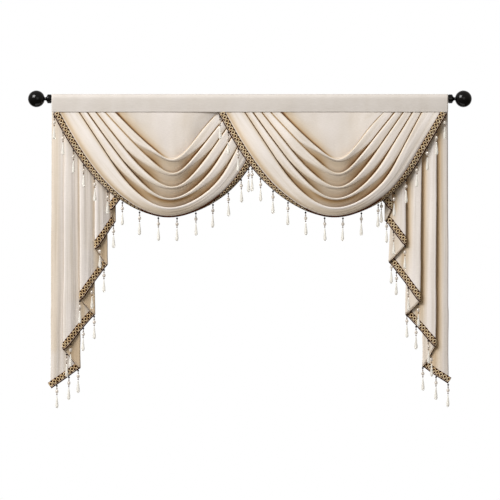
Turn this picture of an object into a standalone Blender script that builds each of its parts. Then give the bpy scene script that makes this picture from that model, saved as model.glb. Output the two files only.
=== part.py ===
"""Swag and tail drape hanging from a curtain rod with ball finials.

A flat rod-pocket header carries two overlapping swags and, behind them, two
pleated tails with stepped hems. A gold scroll braid with hanging bead drops
runs along every lower edge.

World frame, in metres: +Z up, the front of the drape faces -Y, and the origin
lies on the rod's axis at mid-length.
"""

import math

import bmesh
import bpy
import numpy as np
from mathutils import Vector

MM = 0.001

# ---------------------------------------------------------------- dimensions
GAP = 0.3 * MM  # between pieces that touch
CLOTH = 1.5 * MM  # cloth thickness

# Rod and finials
ROD_RADIUS = 13.2 * MM
ROD_HALF = 636.9 * MM
COLLAR_AT = 637.2 * MM  # where each finial starts, from mid-length
BALL_RADIUS = 27.0 * MM
BALL_AT = 684.3 * MM  # ball centre, from mid-length

# Header: a flat sleeve round the rod, whose front layer hangs lowest
HEADER_LEFT = -635.4 * MM
HEADER_RIGHT = 634.8 * MM
HEADER_FRONT = -15.7 * MM
HEADER_TOP = 15.2 * MM
HEADER_LIP = -42.9 * MM  # lower edge of the front layer
SLEEVE_FLOOR = -35.3 * MM  # underside of the sleeve, where all the cloth is sewn on
CLOTH_TOP = SLEEVE_FLOOR - GAP
SWAG_TOP = SLEEVE_FLOOR - 4 * GAP

# Swags
SWAG_CENTRES = {"swag_left": -265.2 * MM, "swag_right": 265.0 * MM}
TOP_PLANE = -13.0 * MM  # the flat top's middle, just behind the header's front layer
ALONG = (-1.0, -0.60, -0.27, 0.0, 0.27, 0.60, 1.0)  # left shoulder .. bottom .. right shoulder
DROP_SHARE = (0.0, 0.45, 0.82, 1.0, 0.82, 0.45, 0.0)  # how far down each of those lies
TUCK = (0.2, 0.6, 0.9, 1.0, 0.9, 0.6, 0.2)  # how far each fold tucks behind the next
FOLD_DEPTH = (5.0, 13.0, 21.0, 24.0, 21.0, 13.0, 5.0)  # mm, lip to gutter
HEM_TURN = (4.0, 16.0, 54.0, 86.0, 60.0, 14.0, 4.0)  # degrees that the braided band turns back under
HEM_BELLY = (0.0, 5.0, 4.0, 1.0, 2.5, 2.0, 0.5)  # mm that the hem fold swells forward

# One row for each fold line of a swag. Millimetres: how far its bottom hangs
# below the header, then its place across, from the swag's centre, at the
# stations of ALONG.
FOLD_LINES = (
    # name   drop   left   l.arm   l.low  bottom  r.low  r.arm  right
    ("lip1", 146.6, -168.0, -102.1, -40.3, 13.8, 61.8, 105.3, 164.2),
    ("lip2", 191.4, -200.0, -119.4, -45.8, 18.6, 73.6, 131.5, 200.3),
    ("lip3", 236.2, -229.1, -144.6, -65.0, 17.0, 87.0, 153.6, 228.2),
    ("lip4", 272.3, -257.3, -168.0, -81.3, 10.6, 107.5, 182.4, 257.6),
    ("lip5", 303.7, -283.2, -192.6, -104.0, 9.0, 134.1, 214.1, 286.7),
    ("hem", 333.8, -365.1, -275.5, -155.2, 4.2, 169.3, 276.5, 365.1),
)
# How much lower each line hangs at the very bottom, where the cloth's weight
# pulls it to a rounded point, mm.
LIP_SAG = (3.0, 3.2, 2.6, 3.4, 2.2, 0.0)
# One row for each fold line: how far it stands in front of the rod's axis, mm.
FOLD_FRONTS = (
    # name   top   arm   low   bottom
    ("lip1", 12.6, 22.0, 30.0, 34.0),
    ("lip2", 12.6, 24.0, 34.0, 39.0),
    ("lip3", 12.6, 26.0, 37.0, 43.0),
    ("lip4", 12.6, 27.0, 39.0, 46.0),
    ("lip5", 12.6, 28.0, 41.0, 49.0),
    ("hem", 12.2, 18.5, 30.0, 36.5),
)
# Mm that an arm moves back, so that the right swag lies over the left one.
SET_BACK = {
    # piece        left  l.arm l.low bottom r.low r.arm right
    "swag_left": (0.0, 0.0, 1.0, 5.0, 11.0, 15.6, 9.5),
    "swag_right": (0.0, -9.0, -6.0, 0.0, 0.0, 0.0, 0.0),
}
# One fold in section, from one lip's top to the next: the share of the way to
# the next lip, and the share of the fold's depth behind its front. The third
# row is where the rolled front of the fold ends: ROLL_END gives it for each
# station, since a roll fills its fold on the arms and is a thin lip at the bottom.
FOLD_SECTION = (
    # across  back
    (0.00, 0.18),
    (0.14, 0.00),
    None,
    (0.93, 0.80),
    (1.14, 1.00),
    (1.07, 0.55),
)
ROLL_END = (0.82, 0.80, 0.50, 0.24, 0.50, 0.80, 0.82)
ROLL_END_BACK = (0.12, 0.14, 0.22, 0.27, 0.22, 0.14, 0.12)
# The flat top of a swag lies in TOP_PLANE: its rows, as shares of the way from the
# header to the first lip. Then it tucks behind that lip: mm past it, share of depth.
TOP_ROWS = (0.00, 0.35, 0.65)
TOP_TUCK = ((4.6, 0.98), (18.0, 0.92), (9.2, 0.50))

# Tails: pleats that fold back and forth. X and the hem's height in mm.
TAIL_LEFT = (
    # line        x at top  x at hem  hem height
    ("edge", -414.0, -412.5, -313.3),
    ("front", -450.0, -447.0, -352.6),
    ("back", -433.0, -430.4, -391.7),
    ("front", -499.2, -496.3, -478.1),
    ("back", -462.0, -456.3, -529.3),
    ("front", -546.9, -544.6, -641.3),
    ("back", -505.0, -497.0, -689.3),
    ("front", -592.3, -598.4, -801.3),
    ("back", -552.0, -543.4, -860.5),
    ("edge", -635.0, -638.7, -926.1),
)
TAIL_RIGHT = (
    # line       x at top  x at hem  hem height
    ("edge", 421.0, 419.5, -316.5),
    ("front", 457.0, 454.4, -353.9),
    ("back", 436.0, 432.3, -388.5),
    ("front", 501.4, 498.9, -468.5),
    ("back", 470.0, 445.1, -519.7),
    ("front", 551.7, 545.6, -647.7),
    ("back", 508.0, 499.2, -689.3),
    ("front", 599.4, 595.2, -791.7),
    ("back", 560.0, 553.3, -855.7),
    ("edge", 634.5, 637.1, -910.1),
)
# How the pleats open from the header down to the longest hem, in mm.
PLEAT_OPENING = (
    # height  front  back  front radius  back radius
    (-35.6, -3.5, 7.2, 1.5, 1.5),
    (-200.0, -4.5, 10.5, 2.2, 2.4),
    (-400.0, -5.5, 16.6, 2.6, 3.9),
    (-930.0, -6.0, 17.0, 3.0, 4.1),
)
PASSING = 2.2  # mm, a front layer's middle ahead of the fold that it passes

# Braid and bead drops
BRAID_WIDTH = 19.0 * MM
BRAID_THICK = 1.6 * MM
DROP_LEAN = 4.0  # mm forward at the tip, for the drops that rest on a swag's arm
BAND_RISE = 24.0 * MM  # the braid's height on a tail, where the hem is slanted
BRAID_OUT = CLOTH / 2 + 2 * GAP + BRAID_THICK / 2  # braid's middle, off the cloth's middle
# A drop, from the thread in the braid to the pear's tip.
DROP_PROFILE = (
    # down, radius, mm
    (-0.4, 0.9),
    (25.5, 5.2),
    (36.5, 1.3),
    (71.0, 5.2),
    (80.0, 0.7),
)
DROP_SIDES = 5
# Where the drops hang, as the distance across from the swag's centre, in mm.
SWAG_DROPS = {
    "swag_left": (-362, -333, -299, -267, -232, -190, -143, -88, -28, 32, 92, 147, 196, 237, 261),
    "swag_right": (-361, -334, -302, -258, -231, -191, -143, -87, -26, 33, 92, 146, 197, 235, 270, 303, 332, 360),
}
# Where the drops hang on a tail: the panel, counted from the inner edge, and
# the share of the way along that panel's hem.
TAIL_DROPS = {
    "tail_left": ((2, 0.16), (2, 0.80), (4, 0.18), (4, 0.60), (4, 0.93),
                  (6, 0.06), (6, 0.36), (6, 0.74), (6, 0.93), (8, 0.10), (8, 0.36), (8, 0.78)),
    "tail_right": ((0, 0.05), (2, 0.08), (2, 0.48), (2, 0.92), (4, 0.10), (4, 0.26), (4, 0.58), (4, 0.92),
                   (6, 0.05), (6, 0.36), (6, 0.72), (6, 0.92), (8, 0.06), (8, 0.50), (8, 0.95)),
}

CLOTH_COLOUR = (0.80, 0.75, 0.66)
HEADER_COLOUR = (0.76, 0.72, 0.66)
BRAID_COLOUR = (0.45, 0.33, 0.14)
BLACK = (0.012, 0.011, 0.011)

# Mesh fineness
SWAG_COLUMNS = 18
TAIL_ROWS = 6
ARC_STEPS = 3


# ------------------------------------------------------------------- helpers
def natural_spline(knots, values):
    """The natural cubic spline through the values, straight beyond its ends."""
    t, v = np.asarray(knots, float), np.asarray(values, float)
    n, h = len(t), np.diff(t)
    a, b = np.eye(n), np.zeros(n)
    for i in range(1, n - 1):
        a[i, i - 1 : i + 2] = h[i - 1], 2 * (h[i - 1] + h[i]), h[i]
        b[i] = 6 * ((v[i + 1] - v[i]) / h[i] - (v[i] - v[i - 1]) / h[i - 1])
    m = np.linalg.solve(a, b)

    def at(x):
        i = min(max(int(np.searchsorted(t, x)) - 1, 0), n - 2)
        if x < t[0]:
            slope = (v[1] - v[0]) / h[0] - h[0] * (2 * m[0] + m[1]) / 6
            return v[0] + slope * (x - t[0])
        if x > t[-1]:
            slope = (v[-1] - v[-2]) / h[-1] + h[-1] * (m[-2] + 2 * m[-1]) / 6
            return v[-1] + slope * (x - t[-1])
        p, q = t[i + 1] - x, x - t[i]
        return (
            (m[i] * p**3 + m[i + 1] * q**3) / (6 * h[i])
            + (v[i] / h[i] - m[i] * h[i] / 6) * p
            + (v[i + 1] / h[i] - m[i + 1] * h[i] / 6) * q
        )

    return at


def eased(knots, values):
    """Through the values with a level start and end to each stretch, so that it
    never passes them."""

    def at(x):
        i = min(max(int(np.searchsorted(knots, x)) - 1, 0), len(knots) - 2)
        f = min(max((x - knots[i]) / (knots[i + 1] - knots[i]), 0.0), 1.0)
        return values[i] + (values[i + 1] - values[i]) * f * f * (3 - 2 * f)

    return at


def material(name, colour, roughness, metallic=0.0):
    made = bpy.data.materials.new(name)
    made.use_nodes = True
    shader = made.node_tree.nodes["Principled BSDF"]
    shader.inputs["Base Color"].default_value = (*colour, 1.0)
    shader.inputs["Roughness"].default_value = roughness
    shader.inputs["Metallic"].default_value = metallic
    return made


def add_mesh(name, points, faces, where, finish=None):
    mesh = bpy.data.meshes.new(name)
    mesh.from_pydata([tuple(p) for p in points], [], faces)
    mesh.update()
    made = bpy.data.objects.new(name, mesh)
    where.objects.link(made)
    if finish:
        mesh.materials.append(finish)
    return made


def sheet(name, rows, thickness, where, finish, turned=False):
    """An open surface through a grid of points, given its thickness by Solidify.
    The diagonals run the same way in the cloth and in the braid laid on it,
    whose rows are turned over, so that the two stay parallel."""
    width = len(rows[0])
    points = [p for row in rows for p in row]
    faces = []
    for i in range(len(rows) - 1):
        for j in range(width - 1):
            a, b = i * width + j, (i + 1) * width + j
            if turned:
                faces += [(a, b, a + 1), (b, b + 1, a + 1)]
            else:
                faces += [(a, b, b + 1), (a, b + 1, a + 1)]
    made = add_mesh(name, points, faces, where, finish)
    made.data.shade_smooth()
    thick = made.modifiers.new("cloth thickness", "SOLIDIFY")
    thick.thickness = thickness
    thick.offset = 0.0
    return made


# ---------------------------------------------------------------------- swag
class Swag:
    """The folds of one swag, as points in the world."""

    def __init__(self, name):
        self.centre = SWAG_CENTRES[name]
        self.across = [natural_spline(ALONG, row[2:]) for row in FOLD_LINES]
        self.share = natural_spline(ALONG, DROP_SHARE)
        self.drops = [row[1] for row in FOLD_LINES]
        self.fronts = [
            natural_spline(ALONG, (a, b, c, d, c, b, a)) for _, a, b, c, d in FOLD_FRONTS
        ]
        self.tuck = natural_spline(ALONG, TUCK)
        self.depth = natural_spline(ALONG, FOLD_DEPTH)
        self.roll_end = natural_spline(ALONG, ROLL_END)
        self.roll_end_back = natural_spline(ALONG, ROLL_END_BACK)
        self.turn = natural_spline(ALONG, HEM_TURN)
        self.belly = eased(ALONG, HEM_BELLY)
        self.back = eased(ALONG, SET_BACK[name])

    def line(self, k, t):
        """Fold line k at t: across and height in mm. Past the shoulders it goes
        straight up to where it is sewn."""
        inside = min(max(t, -1.0), 1.0)
        if inside != t:
            return self.across[k](inside), SWAG_TOP / MM
        near = min(max((abs(t) - 0.04) / 0.30, 0.0), 1.0)
        sag = LIP_SAG[k] * (1.0 - near * near * (3 - 2 * near))
        return self.across[k](t), HEADER_LIP / MM - self.drops[k] * self.share(t) - sag

    def point(self, x, y, z):
        return Vector((self.centre + x * MM, y * MM, z * MM))

    def section(self, t):
        """The points of the swag's section at t, from the header to the hem edge."""
        u = min(max(t, -1.0), 1.0)
        depth, tuck, back = self.depth(u), self.tuck(u), self.back(u)
        rows = []
        lip_x, lip_z = self.line(0, t)
        top = SWAG_TOP / MM
        for over in TOP_ROWS:
            # a forward arm stays behind the header for longer
            share = over / TOP_ROWS[-1] if back > 0 else over**3
            y = TOP_PLANE / MM + back * share
            rows.append(
                self.point(lip_x * (0.95 + 0.05 * over), y, top + (lip_z - top) * over)
            )
        next_x, next_z = self.line(1, t)
        apart = math.hypot(next_x - lip_x, next_z - lip_z)
        for past, behind in TOP_TUCK:
            out = past * tuck / apart
            rows.append(
                self.point(
                    lip_x + (next_x - lip_x) * out,
                    depth * behind - self.fronts[0](u) + back,
                    lip_z + (next_z - lip_z) * out,
                )
            )
        for k in range(4):
            ax, az = self.line(k, t)
            bx, bz = self.line(k + 1, t)
            ay, by = -self.fronts[k](u), -self.fronts[k + 1](u)
            for across, behind in (
                row or (self.roll_end(u), self.roll_end_back(u)) for row in FOLD_SECTION
            ):
                over = 1 + (across - 1) * tuck if across > 1 else across
                rows.append(
                    self.point(
                        ax + (bx - ax) * over,
                        ay + (by - ay) * min(over, 1.0) + depth * behind + back,
                        az + (bz - az) * over,
                    )
                )
        return rows + self.hem_fold(t)

    def hem_fold(self, t):
        """From the last lip over the wide hem fold to the flat band under the
        braid, which ends at the hem edge. The band is the last two points."""
        u = min(max(t, -1.0), 1.0)
        depth, back, belly = self.depth(u), self.back(u), self.belly(u)
        turned = math.radians(self.turn(u))
        ax, az = self.line(4, t)
        bx, bz = self.line(5, t)
        ay, by = -self.fronts[4](u), -self.fronts[5](u)
        band = BRAID_WIDTH / MM
        wide = math.hypot(bx - ax, bz - az)
        start = 1.0 - band * math.cos(turned) / wide
        shape = (
            # share of the way to the band, mm in front of the line to it
            (0.00, -0.18 * depth),
            (0.13, 0.0),
            (0.40, 0.8 * belly),
            (0.75, belly),
            (1.00, 0.0),
        )
        rows = [
            self.point(
                ax + (bx - ax) * a * start,
                ay + (by - ay) * a - f + back,
                az + (bz - az) * a * start,
            )
            for a, f in shape
        ]
        rows.append(self.point(bx, by + band * math.sin(turned) + back, bz))
        return rows

    def columns(self):
        steps = np.linspace(-1.0, 1.0, SWAG_COLUMNS + 1)
        return [-1.03, *[float(s) for s in steps], 1.03]


# --------------------------------------------------------------------- tails
def opening_at(z):
    """Front, back and the fold radii of the pleats at height z, mm."""
    heights = [-row[0] for row in PLEAT_OPENING]
    return [float(np.interp(-z, heights, [row[i] for row in PLEAT_OPENING])) for i in (1, 2, 3, 4)]


def pleat_path(lines, z, side):
    """The pleats cut at height z: points in mm, from the inner edge to the
    outer one, as a belt runs round its wheels. side is 1 for the left tail and
    -1 for the right one, which is turned over while it is worked out."""
    front, back, front_r, back_r = opening_at(z)

    def across(i):
        _, x_top, x_hem, hem = lines[i]
        share = (CLOTH_TOP / MM - z) / (CLOTH_TOP / MM - hem)
        return side * (x_top + (x_hem - x_top) * min(max(share, 0.0), 1.0))

    wheels = []  # centre x, centre y, radius, way round
    for i, (line, *_) in enumerate(lines):
        x = across(i)
        if i and lines[i - 1][0] == "back":
            # the front layer passes between the fold before it and the one behind
            narrow = across(i + 1) + 1.0 if i + 1 < len(lines) else across(i - 2)
            wheels.append((narrow, back - 2 * back_r - PASSING, 0.0, 0))
        if line == "front":
            wheels.append((x + front_r, front + front_r, front_r, -1))
        elif line == "back":
            wheels.append((x - back_r, back - back_r, back_r, 1))
        else:
            wheels.append((x, front + (9.0 if wheels else 3.0), 0.0, 0))
    headings = []
    for a, b in zip(wheels, wheels[1:]):
        dx, dy = b[0] - a[0], b[1] - a[1]
        apart = b[3] * b[2] - a[3] * a[2]
        headings.append(math.atan2(dy, dx) - math.asin(apart / math.hypot(dx, dy)))
    points = []
    for i, (x, y, radius, turn) in enumerate(wheels):
        if not turn:
            points.append((side * x, y))
            continue
        sweep = (headings[i] - headings[i - 1]) * turn % (2 * math.pi) * turn
        for s in range(ARC_STEPS + 1):
            h = headings[i - 1] + sweep * s / ARC_STEPS
            points.append((side * (x + turn * radius * math.sin(h)), y - turn * radius * math.cos(h)))
    return points


def hem_heights(lines):
    """The hem's height at each point of the pleats, mm, and the panel it is on
    with the share of the way along it."""
    heights, places = [], []
    for i, (line, _, _, hem) in enumerate(lines):
        if i and lines[i - 1][0] == "back":
            start, end = lines[i - 1], lines[i]
            narrow = lines[i + 1 if i + 1 < len(lines) else i - 2]
            share = (narrow[2] - start[2]) / (end[2] - start[2])
            heights.append(start[3] + (hem - start[3]) * share)
            places.append((i - 1, share))
        if line == "edge":
            heights.append(hem)
            places.append((max(i - 1, 0), 1.0 if i else 0.0))
            continue
        for s in range(ARC_STEPS + 1):
            heights.append(hem + 2.0 * (ARC_STEPS / 2 - s) / ARC_STEPS)
            places.append((i - 1, 1.0) if s * 2 < ARC_STEPS else (i, 0.0))
    return heights, places


def tail_rows(lines, side):
    heights, _ = hem_heights(lines)
    rows = []
    for r in range(TAIL_ROWS + 1):
        row = []
        for c, hem in enumerate(heights):
            z = hem  # the last row; the one above it is the braid's upper edge
            if r < TAIL_ROWS:
                z = CLOTH_TOP / MM + (hem + BAND_RISE / MM - CLOTH_TOP / MM) * r / (TAIL_ROWS - 1)
            x, y = pleat_path(lines, z, side)[c]
            row.append(Vector((x, y, z)) * MM)
        rows.append(row)
    return rows


# --------------------------------------------------------------------- trims
def drop_mesh(name, tops, where):
    """The bead drops: one turned spindle under each top point, its tip forward
    by the lean in mm where it rests on the cloth behind it."""
    bm = bmesh.new()
    for top, lean in tops:
        rings = []
        for down, radius in DROP_PROFILE:
            ring = []
            for s in range(DROP_SIDES):
                angle = 2 * math.pi * s / DROP_SIDES
                ring.append(
                    bm.verts.new(
                        top
                        + Vector(
                            (
                                radius * math.cos(angle),
                                radius * math.sin(angle) - lean * down / DROP_PROFILE[-1][0],
                                -down,
                            )
                        )
                        * MM
                    )
                )
            rings.append(ring)
        for upper, lower in zip(rings, rings[1:]):
            for s in range(DROP_SIDES):
                n = (s + 1) % DROP_SIDES
                bm.faces.new((upper[s], lower[s], lower[n], upper[n]))
        bm.faces.new(rings[0])
        bm.faces.new(rings[-1][::-1])
    bmesh.ops.recalc_face_normals(bm, faces=bm.faces)
    mesh = bpy.data.meshes.new(name)
    bm.to_mesh(mesh)
    bm.free()
    made = bpy.data.objects.new(name, mesh)
    where.objects.link(made)
    made.hide_render = True
    made.display_type = "WIRE"
    return made


def comb(name, rows, tops, parts, helpers, finish, turned):
    """A braid strip with the drops joined to it: one comb."""
    strip = sheet(name, rows, BRAID_THICK, parts, finish, turned)
    drops = drop_mesh(name + "_drops", tops, helpers)
    join = strip.modifiers.new("drops", "BOOLEAN")
    join.operation = "UNION"
    join.object = drops
    return strip


def braid_on(inner, outer):
    """The middle of a braid laid on the band of cloth between two lines."""
    rows = []
    for i in range(len(inner)):
        before, after = max(i - 1, 0), min(i + 1, len(inner) - 1)
        along = (
            (outer[after] - outer[i]).normalized() + (outer[i] - outer[before]).normalized()
            if before < i < after
            else outer[after] - outer[before]
        )
        out = along.cross(inner[i] - outer[i]).normalized() * BRAID_OUT
        rows.append((inner[i] + out, outer[i] + out))
    return rows


def swag_comb(name, swag, drops_at, parts, helpers, finish):
    columns = swag.columns()[1:-1]
    bands = [swag.hem_fold(t)[-2:] for t in columns]
    inner = [start.lerp(end, 0.05) for start, end in bands]
    outer = [end for _, end in bands]
    for line in (inner, outer):  # clear of the header's lower edge
        line[0] = line[0].lerp(line[1], 0.04)
        line[-1] = line[-1].lerp(line[-2], 0.04)
    rows = braid_on(inner, outer)
    tops = []
    for across in drops_at:
        x = swag.centre + across * MM
        i = max(i for i in range(len(rows) - 1) if rows[i][1].x <= x or i == 0)
        a, b = rows[i][1], rows[i + 1][1]
        lean = DROP_LEAN * min(max((abs(across) - 240.0) / 90.0, 0.0), 1.0)
        tops.append((a.lerp(b, (x - a.x) / (b.x - a.x)) + Vector((0, -0.6 * MM, 0)), lean))
    return comb(name, [row[::-1] for row in rows], tops, parts, helpers, finish, True)


def tail_comb(name, lines, side, drops_at, parts, helpers, finish):
    grid = tail_rows(lines, side)
    _, places = hem_heights(lines)
    inner, outer = [], []
    for above, hem in zip(grid[-2], grid[-1]):
        outer.append(hem.lerp(above, 0.02))
        inner.append(hem.lerp(above, 0.98))
    rows = braid_on(inner, outer) if side < 0 else braid_on(outer, inner)
    if side > 0:
        rows = [row[::-1] for row in rows]
    tops = []
    for panel, share in drops_at:
        before = max(c for c, p in enumerate(places) if p <= (panel, share + 1e-9))
        after = before + 1
        end = 1.0 if places[after][0] > panel else places[after][1]
        f = (share - places[before][1]) / max(end - places[before][1], 1e-6)
        top = rows[before][1].lerp(rows[after][1], min(max(f, 0.0), 1.0))
        tops.append((top + Vector((0, -1.0 * MM, 0)), 0.0))
    return comb(name, rows, tops, parts, helpers, finish, False)


# ------------------------------------------------------------------- pieces
def build_rod(parts, finish):
    bpy.ops.mesh.primitive_cylinder_add(
        vertices=32, radius=ROD_RADIUS, depth=2 * ROD_HALF, rotation=(0, math.pi / 2, 0)
    )
    rod = bpy.context.active_object
    rod.name = rod.data.name = "rod"
    rod.data.materials.append(finish)
    rod.data.shade_smooth()
    rod.data.set_sharp_from_angle(angle=math.radians(40))
    for owner in rod.users_collection:
        owner.objects.unlink(rod)
    parts.objects.link(rod)


def build_finial(name, side, parts, finish):
    """Collar, flare, neck and ball, turned round the rod's axis."""
    reach = BALL_AT + BALL_RADIUS - COLLAR_AT
    centre = BALL_AT - COLLAR_AT
    profile = [(0.0, reach)]
    ball_steps = 8
    neck_radius = 5.0 * MM
    last = math.pi - math.asin(neck_radius / BALL_RADIUS)
    for i in range(1, ball_steps + 1):
        a = last * i / ball_steps
        profile.append((BALL_RADIUS * math.sin(a), centre + BALL_RADIUS * math.cos(a)))
    profile += [
        (5.6 * MM, 17.0 * MM),  # neck
        (9.0 * MM, 14.5 * MM),  # flare
        (14.5 * MM, 11.0 * MM),  # collar
        (14.5 * MM, 0.5 * MM),
        (14.0 * MM, 0.0),
        (0.0, 0.0),
    ]
    mesh = bpy.data.meshes.new(name)
    mesh.from_pydata(
        [(x, 0.0, z) for x, z in profile], [(i, i + 1) for i in range(len(profile) - 1)], []
    )
    made = bpy.data.objects.new(name, mesh)
    parts.objects.link(made)
    mesh.materials.append(finish)
    turn = made.modifiers.new("turned", "SCREW")
    turn.steps = turn.render_steps = 18
    turn.use_merge_vertices = True
    turn.merge_threshold = 1e-4
    made.location = (side * COLLAR_AT, 0, 0)
    made.rotation_euler = (0, side * math.pi / 2, 0)


def build_header(parts, finish):
    """The sleeve's section, a ring with the front layer running on below it."""
    wall = CLOTH
    front, back = HEADER_FRONT, 16.0 * MM
    heel = 10.5 * MM  # back of the sleeve's underside
    arc = 12
    outer = [(front, HEADER_LIP), (front, 0.0)]
    inner = [(front + wall, SLEEVE_FLOOR + wall), (front + wall, 0.0)]
    for i in range(1, arc):
        a = math.pi * i / arc
        mid, half = (front + back) / 2, (back - front) / 2
        outer.append((mid - half * math.cos(a), HEADER_TOP * math.sin(a)))
        inner.append((mid - (half - wall) * math.cos(a), (HEADER_TOP - wall) * math.sin(a)))
    outer += [
        (back, 0.0),
        (heel + 1.2 * MM, SLEEVE_FLOOR + 2.0 * MM),
        (heel - 0.5 * MM, SLEEVE_FLOOR),
        (front + wall, SLEEVE_FLOOR),
        (front + wall, HEADER_LIP),
    ]
    inner += [(back - wall, 0.0), (heel - 0.6 * MM, SLEEVE_FLOOR + wall)]
    curve = bpy.data.curves.new("header", "CURVE")
    curve.dimensions = "2D"
    curve.fill_mode = "BOTH"
    curve.extrude = (HEADER_RIGHT - HEADER_LEFT) / 2
    for outline in (outer, inner):
        spline = curve.splines.new("POLY")
        spline.points.add(len(outline) - 1)
        for point, (y, z) in zip(spline.points, outline):
            point.co = (y, z, 0.0, 1.0)
        spline.use_cyclic_u = True
    made = bpy.data.objects.new("header", curve)
    parts.objects.link(made)
    curve.materials.append(finish)
    made.location = ((HEADER_LEFT + HEADER_RIGHT) / 2, 0, 0)
    made.rotation_euler = (math.pi / 2, 0, math.pi / 2)


def main():
    for old in list(bpy.data.objects):
        bpy.data.objects.remove(old, do_unlink=True)
    parts = bpy.data.collections.new("swag_and_tail_drape")
    helpers = bpy.data.collections.new("helpers")
    bpy.context.scene.collection.children.link(parts)
    bpy.context.scene.collection.children.link(helpers)

    satin = material("satin", CLOTH_COLOUR, 0.45)
    plain = material("header_cloth", HEADER_COLOUR, 0.6)
    gold = material("braid", BRAID_COLOUR, 0.5, 0.3)
    black = material("rod_black", BLACK, 0.15)

    build_rod(parts, black)
    build_finial("finial_left", -1, parts, black)
    build_finial("finial_right", 1, parts, black)
    build_header(parts, plain)
    for name in SWAG_CENTRES:
        swag = Swag(name)
        rows = [swag.section(t) for t in swag.columns()]
        sheet(name, rows, CLOTH, parts, satin)
        swag_comb("fringe_" + name, swag, SWAG_DROPS[name], parts, helpers, gold)
    for name, lines, side in (("tail_left", TAIL_LEFT, 1), ("tail_right", TAIL_RIGHT, -1)):
        sheet(name, tail_rows(lines, side), CLOTH, parts, satin)
        tail_comb("fringe_" + name, lines, side, TAIL_DROPS[name], parts, helpers, gold)


main()
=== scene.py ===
"""The looks of a swag and tail drape on a curtain rod.

Each cloth of the frame is replaced by a fine sheet in the same folds, each comb
of the frame by a scroll gimp braid and strung bead drops, and the rod and its
finials get a gloss black finish. Lengths inside this script are in mm, in the
frame's axes: +X to the right, -Y the front, +Z up, origin on the rod's axis.
"""

import math

import bpy
import numpy as np
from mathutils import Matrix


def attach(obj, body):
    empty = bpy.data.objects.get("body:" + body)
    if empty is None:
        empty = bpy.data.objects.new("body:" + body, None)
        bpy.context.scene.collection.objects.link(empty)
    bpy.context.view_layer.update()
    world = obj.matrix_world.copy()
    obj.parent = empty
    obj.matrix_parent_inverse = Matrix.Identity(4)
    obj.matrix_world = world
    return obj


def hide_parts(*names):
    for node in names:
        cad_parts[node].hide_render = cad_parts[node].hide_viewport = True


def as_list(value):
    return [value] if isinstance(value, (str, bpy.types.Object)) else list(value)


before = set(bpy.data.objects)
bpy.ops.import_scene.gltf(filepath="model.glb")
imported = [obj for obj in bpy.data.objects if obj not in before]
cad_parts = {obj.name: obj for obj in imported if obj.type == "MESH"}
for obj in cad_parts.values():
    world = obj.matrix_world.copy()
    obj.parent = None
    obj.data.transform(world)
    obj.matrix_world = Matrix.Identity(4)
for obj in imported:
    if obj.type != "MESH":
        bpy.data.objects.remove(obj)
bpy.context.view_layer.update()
MM = 0.001

# ------------------------------------------------------------------ dimensions
# Header
HEADER_LEFT, HEADER_RIGHT = -635.4, 634.8
HEADER_FRONT = -15.7
HEADER_TOP = 15.2
HEADER_LIP = -42.9
SLEEVE_FLOOR = -35.3
CLOTH_TOP = SLEEVE_FLOOR - 0.3
SWAG_TOP = SLEEVE_FLOOR - 1.2

# Swags: the places along one, from its left shoulder to its right one
SWAG_CENTRES = {"swag_left": -265.2, "swag_right": 265.0}
TOP_PLANE = -13.0
ALONG = (-1.0, -0.60, -0.27, 0.0, 0.27, 0.60, 1.0)
DROP_SHARE = (0.0, 0.45, 0.82, 1.0, 0.82, 0.45, 0.0)
TUCK = (0.2, 0.6, 0.9, 1.0, 0.9, 0.6, 0.2)
FOLD_DEPTH = (5.0, 13.0, 21.0, 24.0, 21.0, 13.0, 5.0)
HEM_TURN = (4.0, 16.0, 54.0, 86.0, 60.0, 14.0, 4.0)
HEM_BELLY = (0.0, 5.0, 4.0, 1.0, 2.5, 2.0, 0.5)
FOLD_LINES = (
    # drop of the bottom, then the place across at each station
    (146.6, -168.0, -102.1, -40.3, 13.8, 61.8, 105.3, 164.2),
    (191.4, -200.0, -119.4, -45.8, 18.6, 73.6, 131.5, 200.3),
    (236.2, -229.1, -144.6, -65.0, 17.0, 87.0, 153.6, 228.2),
    (272.3, -257.3, -168.0, -81.3, 10.6, 107.5, 182.4, 257.6),
    (303.7, -283.2, -192.6, -104.0, 9.0, 134.1, 214.1, 286.7),
    (333.8, -365.1, -275.5, -155.2, 4.2, 169.3, 276.5, 365.1),
)
FOLD_FRONTS = (
    # at the top, on the arm, low on the arm, at the bottom
    (12.6, 22.0, 30.0, 34.0),
    (12.6, 24.0, 34.0, 39.0),
    (12.6, 26.0, 37.0, 43.0),
    (12.6, 27.0, 39.0, 46.0),
    (12.6, 28.0, 41.0, 49.0),
    (12.2, 18.5, 30.0, 36.5),
)
LIP_SAG = (3.0, 3.2, 2.6, 3.4, 2.2, 0.0)  # how far each line hangs lower at the very bottom
SET_BACK = {
    "swag_left": (0.0, 0.0, 1.0, 5.0, 11.0, 15.6, 9.5),
    "swag_right": (0.0, -9.0, -6.0, 0.0, 0.0, 0.0, 0.0),
}
# The share of a fold's width that its lit roll takes before the cloth falls back
# under it, at each station: nearly all of it on the arms, a thin lip at the bottom.
ROLL_SHARE = (
    (0.97, 0.95, 0.32, 0.21, 0.50, 0.93, 0.97),
    (0.97, 0.95, 0.48, 0.21, 0.40, 0.93, 0.97),
    (0.97, 0.95, 0.60, 0.21, 0.55, 0.86, 0.95),
    (0.97, 0.93, 0.46, 0.23, 0.48, 0.88, 0.95),
)
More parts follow.
